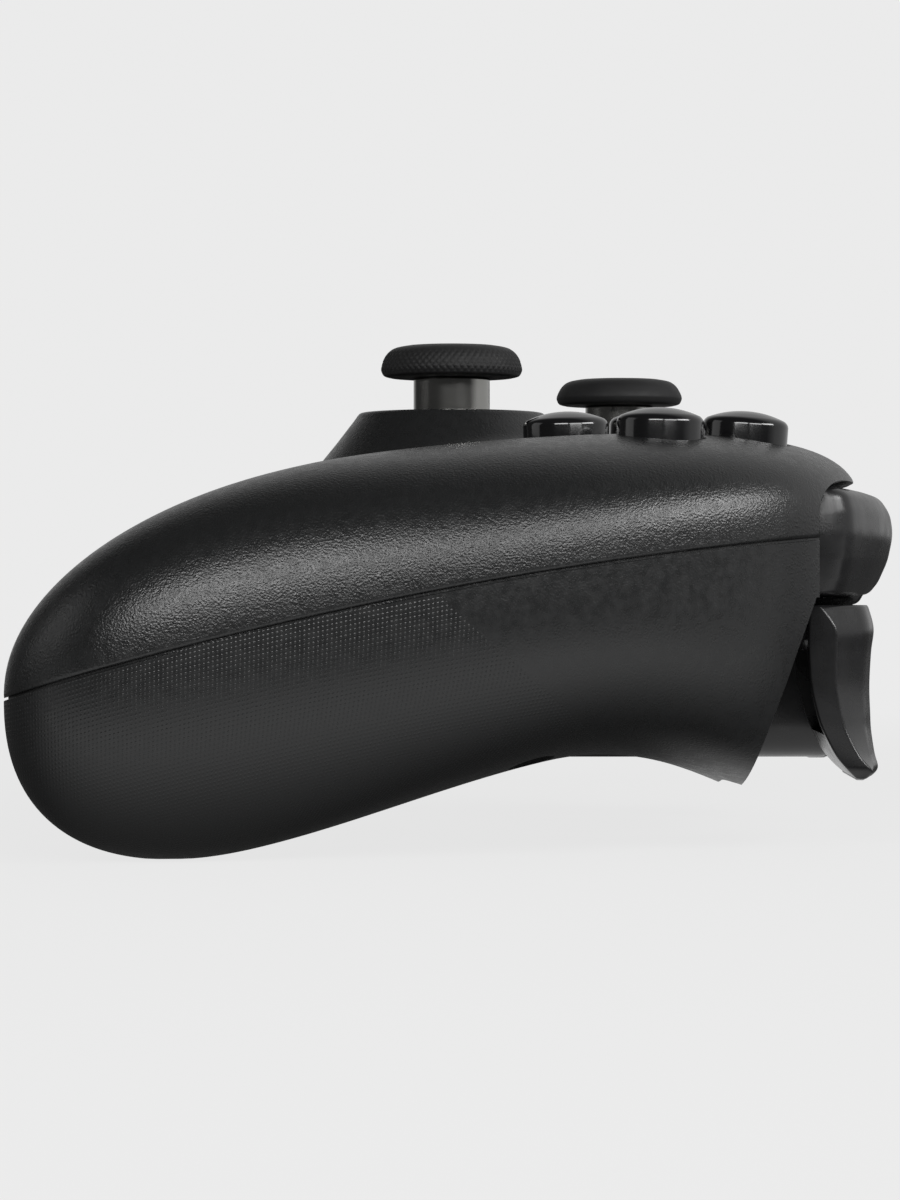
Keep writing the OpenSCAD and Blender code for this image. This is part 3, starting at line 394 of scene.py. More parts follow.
class Skin:
    """One half of the casing's outer face as a fine grid, with its normals and its own flat measure."""

    def __init__(self, above, gap, edge, thick):
        side = 1 if above else -1
        s = stations(190)[:, None]
        near_seam = [0, 0.006, 0.011, 0.017, 0.025, 0.036, 0.052]
        first = np.concatenate([near_seam, np.linspace(0.08, math.pi / 2, 44)])
        turn = np.concatenate([first, (math.pi - first)[::-1][1:]]) * side
        p = surface(s, turn[None, :], 0)
        nor = self.normals_of(p, side)
        away = np.abs(p[..., 2] - seam(p[..., 1]))
        inward = edge - np.sqrt(np.maximum(0, edge ** 2 - np.clip(edge + gap - away, 0, edge) ** 2))
        q = p - nor * inward[..., None] * np.array([1, 1, 0])
        low, high = np.array(CAD_BOX) * 1000
        self.points = np.clip(clear_of_seam(q, side, gap), low + 0.002, high - 0.002)
        self.normals = self.normals_of(self.points, side) if above else nor
        along = np.linalg.norm(np.diff(p[:, 0], axis=0), axis=-1)
        down = np.linalg.norm(np.diff(p, axis=1), axis=-1)
        u = np.concatenate([[0], np.cumsum(along)])
        v = np.concatenate([np.zeros((len(u), 1)), np.cumsum(down, axis=1)], 1)
        self.flat = np.stack([np.broadcast_to(u[:, None], v.shape), v], -1)
        inner = surface(s, np.linspace(math.pi, 0, 22)[None, :] * side, thick)
        self.rings = np.concatenate([self.points, clear_of_seam(inner, side, gap)], 1)

    @staticmethod
    def normals_of(grid, side):
        return unit(np.cross(np.gradient(grid, axis=1), np.gradient(grid, axis=0)) * side)

    def fit(self, obj, extra=()):
        """Gives a cut piece the grid's smooth normals and flat measure again."""
        grids = [(self.points, self.normals, self.flat)] + list(extra)
        where = np.concatenate([g[0].reshape(-1, 3) for g in grids]) * MM
        nor = np.concatenate([g[1].reshape(-1, 3) for g in grids])
        flat = np.concatenate([g[2].reshape(-1, 2) for g in grids])
        tree = KDTree(len(where))
        for i, co in enumerate(where):
            tree.insert(co, i)
        tree.balance()
        mesh = obj.data
        best = np.zeros((len(mesh.vertices), 3))
        uv = np.zeros((len(mesh.vertices), 2))
        for v in mesh.vertices:
            found = tree.find_n(v.co, 4)
            idx = [f[1] for f in found]
            w = np.array([1 / (f[2] + 1e-7) for f in found])
            w /= w.sum()
            if found[0][2] < 0.0012:
                best[v.index] = w @ nor[idx]
            uv[v.index] = w @ flat[idx]
        loops = np.zeros(len(mesh.loops), int)
        mesh.loops.foreach_get("vertex_index", loops)
        layer = mesh.uv_layers.new(name="measure") if not mesh.uv_layers else mesh.uv_layers[0]
        layer.data.foreach_set("uv", uv[loops].ravel())
        mesh.set_sharp_from_angle(angle=math.radians(CREASE))
        corner = np.zeros(len(mesh.loops) * 3)
        mesh.corner_normals.foreach_get("vector", corner)
        corner = corner.reshape(-1, 3)
        facing = np.zeros((len(mesh.loops), 3))
        for poly in mesh.polygons:
            facing[poly.loop_start:poly.loop_start + poly.loop_total] = poly.normal
        want = best[loops]
        length = np.linalg.norm(want, axis=1)
        ok = (length > 0.5) & (np.sum(facing * want, 1) > 0.8 * np.maximum(length, 1e-9))
        corner[ok] = want[ok] / length[ok][:, None]
        mesh.normals_split_custom_set(corner.tolist())
        return obj


def collar_rows(x, y):
    """The raised cone round a stick, running out into the casing: points by angle and row."""
    r0, r1, count, k = COLLAR_HOLE / 2, COLLAR_D / 2, 160, 2.4
    rim_rows = [(r0, -9.5), (r0, -5), (r0, -1.5), (r0, -0.5), (r0 + 0.06, -0.27), (r0 + 0.2, -0.09), (r0 + 0.4, -0.01),
                (r1 - 0.75, 0), (r1 - 0.5, -0.05), (r1 - 0.28, -0.18), (r1 - 0.08, -0.42), (r1 + 0.12, -0.72)]
    flank = curve_through([(r1 + 0.12, -0.72), (r1 + 0.6, -1.36), (r1 + 2.4, -3.7), (r1 + 4.4, -6.2), (r1 + 5.4, -7.7),
                           (r1 + 6.3, -9.8), (r1 + 6.9, -12.4)], 6)
    profile = np.array(rim_rows + [tuple(p) for p in flank[1:]])
    a, r = angles(count)[:, None], profile[None, :, 0]
    px, py = x + r * np.cos(a), y + r * np.sin(a)
    skin = skin_z(px, py) - 0.03
    z = RIM_Z + profile[None, :, 1] + 0 * a
    h = np.maximum(k - np.abs(z - skin), 0) / k
    blended = np.maximum(z, skin) + h * h * k / 4
    z = np.where(r > r1 + 1.2, mix(z, blended, ease(r, r1 + 1.2, r1 + 3)), z)
    return np.stack([px, py, z], -1)


def collar_solid(name, x, y):
    """The collar as a solid that is sunk in the casing's wall, and its face for smooth normals."""
    rows = collar_rows(x, y)[:, 3:]
    floor = rows.copy()
    floor[..., 2] = np.minimum(rows[..., 2] - 0.3, skin_z(rows[..., 0], rows[..., 1]) - 1.0)
    keep = np.concatenate([[0], 3 + np.flatnonzero(np.diff(rows[0, 3:, 0]) > 0.05)])
    obj = loft(name, np.concatenate([rows, floor[:, keep][:, ::-1]], 1), True, "joined")
    around = np.roll(rows, -1, 0) - np.roll(rows, 1, 0)
    nor = unit(np.cross(np.gradient(rows, axis=1), around))
    nor *= np.where(nor[..., 2:3] < -0.05, -1, 1)
    return obj, (rows[:, 1:], nor[:, 1:], np.zeros(rows[:, 1:].shape[:2] + (2,)))


def out_of(outline):
    """The direction out of a closed outline at each of its points."""
    ahead = np.roll(outline, -1, 0) - np.roll(outline, 1, 0)
    return unit(np.stack([ahead[:, 1], -ahead[:, 0]], -1))


def hole(name, outline, at, depth, tilt=0.0, edge=0.3):
    """A cutter for an opening in the upper face, with a small bevel that follows the face."""
    outline = np.asarray(outline, float)
    out = out_of(outline)
    c, s = math.cos(tilt), math.sin(tilt)

    def place(p, z):
        return np.stack([at[0] + p[:, 0], at[1] + p[:, 1] * c + z * s, at[2] + z * c - p[:, 1] * s], -1)

    wide = outline + out * edge
    top = skin_z(at[0] + outline[:, 0], at[1] + outline[:, 1]) - at[2]
    far = skin_z(at[0] + wide[:, 0], at[1] + wide[:, 1]) - at[2]
    lean = outline[:, 1] * s
    mid = outline + out * edge * 0.3
    rings = [place(outline, np.full(len(outline), -depth)), place(outline, top + lean - edge),
             place(mid, top + lean - edge * 0.3), place(wide, far + lean), place(wide + out * 0.1, far + lean + 4)]
    return loft(name, rings, False)


def circle(r, count=96):
    a = angles(count)
    return np.stack([r * np.cos(a), r * np.sin(a)], -1)


def pill(w, d, count=48):
    a = angles(count)
    return np.stack([d / 2 * np.cos(a) + np.sign(np.cos(a)) * (w - d) / 2, d / 2 * np.sin(a)], -1)


def cross_outline(w, arm, r, inner=0.8):
    """A plus sign with rounded tips and small fillets in its corners."""

    def arc(x, y, radius, start, way):
        around = [start + way * k * math.pi / 12 for k in range(7)]
        return [(x + radius * math.cos(a), y + radius * math.sin(a)) for a in around]

    part = arc(w / 2 - r, -arm / 2 + r, r, -math.pi / 2, 1) + arc(w / 2 - r, arm / 2 - r, r, 0, 1)
    part += arc(arm / 2 + inner, arm / 2 + inner, inner, -math.pi / 2, -1)
    pts = []
    for t in (q * math.pi / 2 for q in range(4)):
        turn = np.array([[math.cos(t), -math.sin(t)], [math.sin(t), math.cos(t)]])
        pts += [turn @ np.array(p) for p in part]
    return np.array(pts)


def notch_tool():
    """A cutter for the step in the front that takes the bumpers, rounded at its rear."""
    low, front = BAND_LOW - FIT, NOTCH_Y + 30
    a = np.linspace(math.pi / 2, math.pi, 14)
    arc = [(NOTCH_Y + NOTCH_R * (1 + math.cos(t)), NOTCH_Z - NOTCH_R * (1 - math.sin(t))) for t in a]
    return extrude("notch", [(front, NOTCH_Z)] + arc + [(NOTCH_Y, low), (front, low)], -FAR, FAR)


def nose_tool():
    """A cutter that blunts the thin front edge of the roof over the bumpers."""
    reach, fade = 46, 38
    x = np.linspace(-reach, reach, 93)
    lo, hi = np.full(len(x), 30.0), np.full(len(x), FRONT - 0.3)
    for _ in range(HALVINGS):
        y = (lo + hi) / 2
        above = skin_z(x, y) > NOTCH_Z + 0.42
        lo, hi = np.where(above, y, lo), np.where(above, hi, y)
    near = lo + 2.5 * ease(np.abs(x), fade, reach)
    front, top, low = np.full(len(x), FRONT + 6), 48.0, NOTCH_Z - 0.1
    section = [(near, top), (near, NOTCH_Z + 0.36), (near + 0.1, NOTCH_Z + 0.2), (near + 0.1, low),
               (front, low), (front, top)]
    return loft("nose", np.stack([np.stack([x, y, np.full(len(x), z)], -1) for y, z in section], 1), False)


def pocket_tools():
    """Cutters for the room behind the bumpers and under the bridge."""
    w, low, top, bridge = BAND_W + 0.5, BAND_LOW - FIT, BAND_TOP + 0.325, BRIDGE_W + FIT
    outline = fillet([(-w, low), (w, low), (w, top), (-w, top)], [0.1, 0.1, 2.6, 2.6], 9)
    return [extrude("pocket", outline, NOTCH_Y - 3, NOTCH_Y + 9, "y"),
            block("pocket_low", (-bridge, BAND_REAR - FIT, BAND_LOW - BRIDGE_DEEP - FIT),
                  (bridge, NOTCH_Y + 30, BAND_LOW))]


def bay_tools(side):
    """Cutters for a trigger's bay: the leaning edge of the casing and the room behind the blade."""
    (y0, z0), (y1, z1) = BAY_LOW, BAY_HIGH
    x0, x1 = sorted((side * BAY_X, side * (TRIG_OUT + 1.2)))
    lean = curve_through([(y0 - 1.1, z0 - 3), (y0, z0), (mix(y0, y1, 0.5) - 0.25, mix(z0, z1, 0.5)), (y1, z1)], 8)
    cut = extrude("bay", [(100, z0 - 3)] + [tuple(p) for p in lean] + [(100, z1)], side * BAY_X, side * FAR)
    return [cut, block("bay_deep", (x0, BAY_REAR, -12.1), (x1, BAY_REAR + 30, z1 + 8), 1.4)]


def bar(name, lo, hi, r, axis, count=32):
    """A plain round cutter between two points along an axis."""
    ring = circle(r, count)
    if axis == "z":
        return loft(name, [[(lo[0] + p[0], lo[1] + p[1], h) for p in ring] for h in (lo[2], hi[2])], False)
    return loft(name, [[(lo[0] + p[0], h, lo[2] + p[1]) for p in ring] for h in (lo[1], hi[1])], False)


def show(obj, body, material, slot, *nodes):
    """Puts a finished piece on its body in place of CAD nodes."""
    obj.data.materials.clear()
    obj.data.materials.append(material)
    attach(obj, body)
    if nodes:
        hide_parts(*nodes)
    return obj


# ---- finishes ----

def add_node(tree, kind, inputs=None, **settings):
    """A node with its settings, and its inputs set or linked."""
    made = tree.nodes.new(kind)
    for key, value in settings.items():
        setattr(made, key, value)
    for key, value in (inputs or {}).items():
        if isinstance(value, bpy.types.NodeSocket):
            tree.links.new(value, made.inputs[key])
        else:
            made.inputs[key].default_value = value
    return made


class Finish:
    """A material being built from nodes."""

    def __init__(self, name, colour, rough, metal=0.0):
        self.material = bpy.data.materials.new(name)
        self.material.use_nodes = True
        self.tree = self.material.node_tree
        self.tree.nodes.clear()
        self.out = self.tree.nodes.new("ShaderNodeOutputMaterial")
        self.shader = self.tree.nodes.new("ShaderNodeBsdfPrincipled")
        self.link(self.shader.outputs[0], self.out.inputs["Surface"])
        self.set("Base Color", (*colour, 1))
        self.set("Roughness", rough)
        self.set("Metallic", metal)

    def set(self, socket, value):
        self.shader.inputs[socket].default_value = value

    def link(self, a, b):
        self.tree.links.new(a, b)

    def node(self, kind, inputs=None, **settings):
        return add_node(self.tree, kind, inputs, **settings)

    def vector(self, operation, a, b=(0, 0, 0)):
        return self.node("ShaderNodeVectorMath", {0: a, 1: b}, operation=operation).outputs[0]

    def length(self, a):
        return self.node("ShaderNodeVectorMath", {0: a}, operation="LENGTH").outputs["Value"]

    def math(self, operation, a, b=0.0, c=0.0):
        return self.node("ShaderNodeMath", {0: a, 1: b, 2: c}, operation=operation).outputs[0]

    def place(self, which="Object"):
        return self.node("ShaderNodeTexCoord").outputs[which]

    def noise(self, scale, detail=2.0, rough=0.5, place=None):
        vector = place or self.place()
        return self.node("ShaderNodeTexNoise", {"Vector": vector, "Scale": scale, "Detail": detail,
                                                "Roughness": rough}).outputs["Fac"]

    def remap(self, value, lo, hi, to_lo, to_hi, smooth=False):
        span = {"Value": value, "From Min": lo, "From Max": hi, "To Min": to_lo, "To Max": to_hi}
        way = "SMOOTHSTEP" if smooth else "LINEAR"
        return self.node("ShaderNodeMapRange", span, interpolation_type=way).outputs["Result"]

    def vary_colour(self, value, dark, light):
        made = self.node("ShaderNodeMix", {"Factor": value}, data_type="RGBA")
        made.inputs["A"].default_value = (*dark, 1)
        made.inputs["B"].default_value = (*light, 1)
        self.link(made.outputs["Result"], self.shader.inputs["Base Color"])

    def vary_rough(self, value, lo, hi):
        self.link(self.remap(value, 0.3, 0.7, lo, hi), self.shader.inputs["Roughness"])

    def bump(self, height, distance, strength=1.0):
        made = self.node("ShaderNodeBump", {"Height": height, "Distance": distance * MM, "Strength": strength})
        self.link(made.outputs[0], self.shader.inputs["Normal"])
        return self


def scaled(colour, k):
    return tuple(min(1.0, c * k) for c in colour)


def grained(name, colour, rough, grain, depth, dotted=None):
    """Moulded plastic with an etched grain, and rows of small dots on the grips where asked."""
    f = Finish(name, colour, rough)
    grit = f.noise(700 / grain, 2.0, 0.6)
    cells = f.node("ShaderNodeTexVoronoi", {"Vector": f.place(), "Scale": 1000 / grain}).outputs["Distance"]
    patch = f.noise(60, 3.0)
    height = f.math("ADD", f.math("MULTIPLY", grit, 0.75), f.math("MULTIPLY", cells, 0.5))
    if dotted:
        pitch, dot_depth = dotted
        where = f.node("ShaderNodeSeparateXYZ", {0: f.place()})
        ahead = f.math("ADD", where.outputs["Y"], f.math("MULTIPLY", where.outputs["Z"], 1.112))
        on_grip = f.remap(ahead, 0.0294, 0.0296, 1, 0)
        flat = f.node("ShaderNodeUVMap", uv_map="measure").outputs[0]
        part = f.vector("FRACTION", f.vector("MULTIPLY", flat, (1 / pitch, 1 / pitch, 1)))
        middle = f.vector("MULTIPLY", f.vector("SUBTRACT", part, (0.5, 0.5, 0)), (1, 1, 0))
        dots = f.remap(f.length(middle), 0.05, 0.36, 1, 0, True)
        plain = f.math("MULTIPLY", height, f.remap(on_grip, 0, 1, 0.5, 0.2))
        height = f.math("ADD", plain, f.math("MULTIPLY", f.math("MULTIPLY", dots, on_grip), dot_depth / depth))
    f.vary_colour(patch, scaled(colour, 0.88), scaled(colour, 1.12))
    f.vary_rough(f.noise(900, 2.0), rough - 0.05, rough + 0.05)
    f.bump(height, depth)
    f.set("Specular IOR Level", 0.5)
    return f.material


def satin(name, colour, rough, grain=0.25, depth=0.01):
    """Fine satin moulding."""
    f = Finish(name, colour, rough)
    f.vary_colour(f.noise(45, 3.0), scaled(colour, 0.9), scaled(colour, 1.12))
    f.vary_rough(f.noise(300, 3.0), rough - 0.05, rough + 0.06)
    f.bump(f.noise(1000 / grain, 3.0, 0.6), depth)
    return f.material


def gloss(name, colour, rough):
    """Polished black plastic with faint handling marks."""
    f = Finish(name, colour, rough)
    smear = f.noise(140, 4.0, 0.65)
    f.vary_rough(smear, rough, rough + 0.1)
    f.vary_colour(f.noise(60), scaled(colour, 0.8), scaled(colour, 1.2))
    f.bump(f.noise(420, 2.0), 0.003)
    f.set("Coat Weight", 0.35)
    f.set("Coat Roughness", 0.06)
    return f.material


def turned_metal(name, colour, rough, depth=0.004):
    """Metal with fine marks round its axis."""
    f = Finish(name, colour, rough, 1.0)
    rings = f.noise(260, 4.0, 0.7, f.vector("MULTIPLY", f.place(), (1, 1, 14)))
    f.vary_rough(rings, rough - 0.015, rough + 0.015)
    f.vary_colour(f.noise(70), scaled(colour, 0.97), scaled(colour, 1.03))
    f.bump(rings, depth)
    return f.material


def rubber(name, colour, rough):
    """Matt rubber with a dry, dusty tooth."""
    f = Finish(name, colour, rough)
    f.vary_colour(f.noise(220, 4.0), scaled(colour, 0.85), scaled(colour, 1.2))
    f.vary_rough(f.noise(500, 3.0), rough - 0.06, rough + 0.06)
    f.bump(f.noise(2600, 3.0, 0.65), 0.02)
    f.set("Specular IOR Level", 0.35)
    f.set("Sheen Weight", 0.04)
    f.set("Sheen Roughness", 0.5)
    return f.material


def silicone(name, colour):
    """Translucent keypad rubber."""
    f = Finish(name, colour, 0.55)
    f.vary_colour(f.noise(90, 3.0), scaled(colour, 0.92), scaled(colour, 1.05))
    f.bump(f.noise(1500, 2.0), 0.008)
    f.set("Subsurface Weight", 0.1)
    return f.material


def printed_board(name, colour):
    """Solder mask over copper tracks and round pads."""
    f = Finish(name, colour, 0.4)
    where = f.place()
    black, white = (0, 0, 0, 1), (1, 1, 1, 1)
    tracks = f.node("ShaderNodeTexBrick", {"Vector": where, "Scale": 160.0, "Mortar Size": 0.03, "Color1": black,
                                           "Color2": black, "Mortar": white}).outputs["Fac"]
    pads = f.node("ShaderNodeTexVoronoi", {"Vector": where, "Scale": 260.0}).outputs["Distance"]
    dots = f.remap(pads, 0.1, 0.16, 1, 0, True)
    both = f.math("MAXIMUM", tracks, dots)
    f.vary_colour(both, colour, scaled(colour, 2.2))
    f.bump(both, 0.03)
    return f.material


# ---- what a user would change ----

class ControllerSizes(bpy.types.PropertyGroup):
    """Sizes of the fine detail."""

    seam_gap: bpy.props.FloatProperty(name="Seam gap", description="Gap between the two halves of the casing",
                                      default=0.0003, min=0.0001, max=0.0006,
                                      subtype="DISTANCE", unit="LENGTH", precision=5)
    edge_round: bpy.props.FloatProperty(name="Edge radius", description="Rounding of the casing's edges at the seam",
                                        default=0.0004, min=0.0001, max=0.0008,
                                        subtype="DISTANCE", unit="LENGTH", precision=5)
    grain: bpy.props.FloatProperty(name="Grain", description="Size of the casing's etched grain",
                                   default=0.00025, min=0.0001, max=0.001,
                                   subtype="DISTANCE", unit="LENGTH", precision=5)
    grain_depth: bpy.props.FloatProperty(name="Grain depth", description="Depth of the casing's etched grain",
                                         default=0.00005, min=0, max=0.0002,
                                         subtype="DISTANCE", unit="LENGTH", precision=5)
    dot_pitch: bpy.props.FloatProperty(name="Dot pitch", description="Spacing of the dots on the grips",
                                       default=0.00051, min=0.0003, max=0.002,
                                       subtype="DISTANCE", unit="LENGTH", precision=5)
    dot_depth: bpy.props.FloatProperty(name="Dot depth", description="Height of the dots on the grips",
                                       default=0.000026, min=0, max=0.0003,
                                       subtype="DISTANCE", unit="LENGTH", precision=5)
    knurl_count: bpy.props.IntProperty(name="Knurl count", description="Diamonds round a stick's cap",
                                       default=64, min=24, max=120)
    knurl_depth: bpy.props.FloatProperty(name="Knurl depth", description="Depth of the knurl on a stick's cap",
                                         default=0.00016, min=0, max=0.0004,
                                         subtype="DISTANCE", unit="LENGTH", precision=5)


class ControllerColours(bpy.types.PropertyGroup):
    """Colours of the finishes."""

    casing: bpy.props.FloatVectorProperty(name="Casing", description="Upper and lower casing", subtype="COLOR",
                                          default=(0.011, 0.0113, 0.0115), min=0, max=1)
    trim: bpy.props.FloatVectorProperty(name="Trim", description="Bumpers, bridge, triggers and belly cover",
                                        subtype="COLOR", default=(0.011, 0.011, 0.0115), min=0, max=1)
    button: bpy.props.FloatVectorProperty(name="Buttons", description="Face buttons and direction pad",
                                          subtype="COLOR", default=(0.006, 0.006, 0.0065), min=0, max=1)
    cap: bpy.props.FloatVectorProperty(name="Stick caps", description="Rubber of the stick caps", subtype="COLOR",
                                       default=(0.009, 0.009, 0.0093), min=0, max=1)
    metal: bpy.props.FloatVectorProperty(name="Stick shafts", description="Polished metal of the stick shafts",
                                         subtype="COLOR", default=(0.42, 0.418, 0.4), min=0, max=1)
    ground: bpy.props.FloatVectorProperty(name="Ground", description="Floor and backdrop", subtype="COLOR",
                                          default=(0.83, 0.83, 0.83), min=0, max=1)


def sizes():
    """The sizes in millimetres, and the count as it is."""
    group = bpy.context.scene.controller_sizes
    return SimpleNamespace(**{key: getattr(group, key) * (1 if key == "knurl_count" else 1000)
                              for key in group.__annotations__})


def colours():
    return bpy.context.scene.controller_colours


def finish_of(kind):
    """The finish of that name, made once."""
    name = "finish_" + kind
    if name in bpy.data.materials:
        return bpy.data.materials[name]
    c, z = colours(), sizes()
    makers = {
        "upper": lambda: grained(name, tuple(c.casing), 0.29, z.grain, z.grain_depth),
        "lower": lambda: grained(name, tuple(c.casing), 0.29, z.grain, z.grain_depth, (z.dot_pitch, z.dot_depth)),
        "trim": lambda: satin(name, tuple(c.trim), 0.26),
        "belly": lambda: satin(name, tuple(c.trim), 0.3, 0.4, 0.008),
        "button": lambda: gloss(name, tuple(c.button), 0.08),
        "pad": lambda: satin(name, tuple(c.button), 0.27, 0.3, 0.006),
        "cap": lambda: rubber(name, tuple(c.cap), 0.62),
        "skirt": lambda: satin(name, scaled(tuple(c.cap), 0.8), 0.33, 0.3, 0.006),
        "shaft": lambda: turned_metal(name, tuple(c.metal), 0.17, 0.0001),
        "steel": lambda: turned_metal(name, (0.55, 0.55, 0.56), 0.3),
        "dark_steel": lambda: turned_metal(name, (0.2, 0.2, 0.21), 0.38),
        "inner": lambda: satin(name, (0.03, 0.03, 0.032), 0.5),
        "nylon": lambda: satin(name, (0.55, 0.54, 0.5), 0.5),
        "silicone": lambda: silicone(name, (0.6, 0.6, 0.58)),
        "board": lambda: printed_board(name, (0.01, 0.09, 0.03)),
        "cell": lambda: satin(name, (0.1, 0.12, 0.17), 0.4, 0.8, 0.02),
        "weight": lambda: turned_metal(name, (0.38, 0.36, 0.33), 0.45, 0.01),
    }
    return makers[kind]()


# ---- the pieces ----

def crisp(obj, angle=CREASE):
    """Smooth faces with sharp edges where they turn by more than an angle."""
    obj.data.shade_smooth()
    obj.data.set_sharp_from_angle(angle=math.radians(angle))
    return obj


def twin_of(obj, name):
    """The same piece on the other side of the middle."""
    twin = placed(name, obj.data.copy())
    twin.data.transform(Matrix.Diagonal((-1, 1, 1, 1)))
    twin.data.flip_normals()
    return crisp(twin)


def show_both(right, part):
    """Puts a trim piece on the right side and its twin on the left."""
    crisp(right)
    left = twin_of(right, right.name.replace("right", "left"))
    for side, obj in (("right", right), ("left", left)):
        node = "%s_%s" % (side, part)
        show(obj, node + "_body", finish_of("trim"), "satin_black", node)


def laid(obj, at, axis, angle=math.pi / 2):
    """Turns a solid about an axis and moves it to its place."""
    obj.data.transform(Matrix.Translation(Vector(at) * MM) @ Matrix.Rotation(angle, 4, axis))
    return obj


def rod(name, r, lo, hi, count):
    """A round bar up from the origin."""
    return lathe(name, [(0, lo), (r, lo), (r, hi), (0, hi)], (0, 0, 0), count)


def key_tilt(y):
    """The lean of a face button, which follows the casing."""
    return math.atan((y - LEVEL_Y) / LEVEL_R)


def fillet(points, radii, steps=5):
    """A closed outline with every corner rounded."""
    pts = np.asarray(points, float)
    out = []
    for i, p in enumerate(pts):
        a, b = pts[i - 1] - p, pts[(i + 1) % len(pts)] - p
        la, lb = np.linalg.norm(a), np.linalg.norm(b)
        a, b = a / la, b / lb
        half = math.acos(np.clip(a @ b, -1, 1)) / 2
        cut = min(radii[i] / max(math.tan(half), 1e-6), 0.48 * la, 0.48 * lb)
        for k in range(steps):
            f = k / (steps - 1)
            out.append(p + a * cut * (1 - f) ** 2 + b * cut * f ** 2)
    return np.array(out)


def part_below(node, z):
    """The hidden lower part of a CAD node."""
    return combine(copy_of(node), [block("keep", (-90, -90, -40), (90, 90, z))], "INTERSECT")


def top_tools():
    """Cutters for the openings in the upper casing."""
    tools = [hole("hole_" + name, circle(FACE_HOLE_R), on_skin(x, y), KEY_HOLE_DEEP, key_tilt(y))
             for name, (x, y) in FACE.items()]
    tools.append(hole("hole_pad", cross_outline(PAD_HOLE_W, PAD_HOLE_ARM, 2.15, 0.5), on_skin(PAD_X, PAD_Y), 10))
    for x in (SMALL_X, -SMALL_X):
        tools.append(hole("hole_small", circle(SMALL_HOLE_R, 64), on_skin(x, SMALL_Y), KEY_HOLE_DEEP))
    tools.append(hole("hole_share", pill(7.7, 4.3), on_skin(0.0, SHARE_Y), KEY_HOLE_DEEP))
    tools.append(hole("hole_home", circle(HOME_HOLE_R), on_skin(0.0, HOME_Y), KEY_HOLE_DEEP))
    return tools


def front_tools():
    """Cutters for the openings that both halves share."""
    jack = bar("jack", (0, ARCH - 12, JACK_Z), (0, ARCH + 8, JACK_Z), 3.5, "y", 64)
    return [notch_tool(), jack] + pocket_tools() + bay_tools(1) + bay_tools(-1)


class CONTROLLER_OT_casing(bpy.types.Operator):
    """Builds the two halves of the casing with their seam, openings and stick collars"""

    bl_idname = "controller.casing"
    bl_label = "Casing"

    def execute(self, context):
        z = sizes()
        gap = z.seam_gap / 2
        skin = Skin(True, gap, z.edge_round, WALL)
        upper = loft("upper_casing", skin.rings, True, "points")
        bores = [bar("bore_" + k, (x, y, 20), (x, y, 80), COLLAR_HOLE / 2 + 0.15, "z", 160)
                 for k, (x, y) in STICKS.items()]
        combine(upper, bores)
        collars = [collar_solid("collar_" + k, x, y) for k, (x, y) in STICKS.items()]
        combine(upper, [c[0] for c in collars], "UNION")
        combine(upper, top_tools() + front_tools() + [nose_tool()])
        combine(upper, [core_of("top_shell", CORE_INSET)], "UNION")
        skin.fit(upper, [c[1] for c in collars])
        show(upper, "case", finish_of("upper"), "upper_shell", "top_shell")

        skin = Skin(False, gap, z.edge_round * 0.2, WALL)
        lower = loft("lower_casing", skin.rings, True, "points")
        screws = [bar("screw", (x, y, -30), (x, y, seat), 2.7, "z", 48) for x, y, seat in SCREW_SEATS]
        combine(lower, [seam_lip(gap)], "UNION")
        combine(lower, screws + front_tools())
        combine(lower, [core_of("bottom_shell", CORE_INSET)], "UNION")
        skin.fit(lower)
        show(lower, "case", finish_of("lower"), "lower_shell", "bottom_shell")
        return {"FINISHED"}


class CONTROLLER_OT_belly(bpy.types.Operator):
    """Builds the satin cover under the casing, rounded below and fitted to the casing above"""

    bl_idname = "controller.belly"
    bl_label = "Belly cover"

    def execute(self, context):
        r, low, top, half, rear, front = 5.0, 9.4, 22.7, 16.8, -10, 48.4
        levels = [(r - r * math.cos(a), r - r * math.sin(a)) for a in np.linspace(0, math.pi / 2, 9)]
        levels += [(top - low - h, d) for h, d in ((0.6, 0.0), (0.25, 0.1), (0.06, 0.3), (0, 0.6))]
        rings = []
        for h, d in levels:
            box = [(-half + d, rear + d), (half - d, rear + d), (half - d, front - d), (-half + d, front - d)]
            rings.append([(p[0], p[1], low + h) for p in fillet(box, [max(r - d, 0.05)] * 4, 9)])
        cover = loft("belly_shell", rings)
        combine(cover, [combine(whole(-0.06), bay_tools(1) + bay_tools(-1))])
        show(crisp(cover), "case", finish_of("belly"), "satin_black", "belly_cover")
        return {"FINISHED"}


def band_outline(front, squeeze=1.0, back=0.0, deep=0.0):
    """The section of the bumpers and the bridge in y and z."""
    h, m = BAND_TOP - BAND_LOW, (BAND_TOP + BAND_LOW) / 2
    k = (front - BAND_REAR) / (BAND_Y - BAND_REAR)
    raw = [(BAND_REAR - BAND_Y, -deep), (-4.2 - 0.3 * deep, -deep), (-3.0 - 0.3 * deep, 0.3 - deep), (-1.9, 1.6),
           (-0.7, 4.2), (0, 7.4), (-0.4, 9.9), (-1.7, h - 1), (-3.8, h - 0.35), (-6.5, h), (BAND_REAR - BAND_Y, h)]
    pts = [(BAND_REAR + (y + BAND_Y - BAND_REAR) * k, m + (BAND_LOW + z - m) * squeeze) for y, z in raw]
    out = fillet(pts, [0.3, 1.2, 1.6, 4, 8, 8, 4, 2.5, 6, 20, 0.3], 6)
    mid = np.array([BAND_REAR + 0.5, m])
    return mid + (out - mid) * (1 - back) if back else out


def section_at(x, outline):
    return [(x, p[0], p[1]) for p in outline]


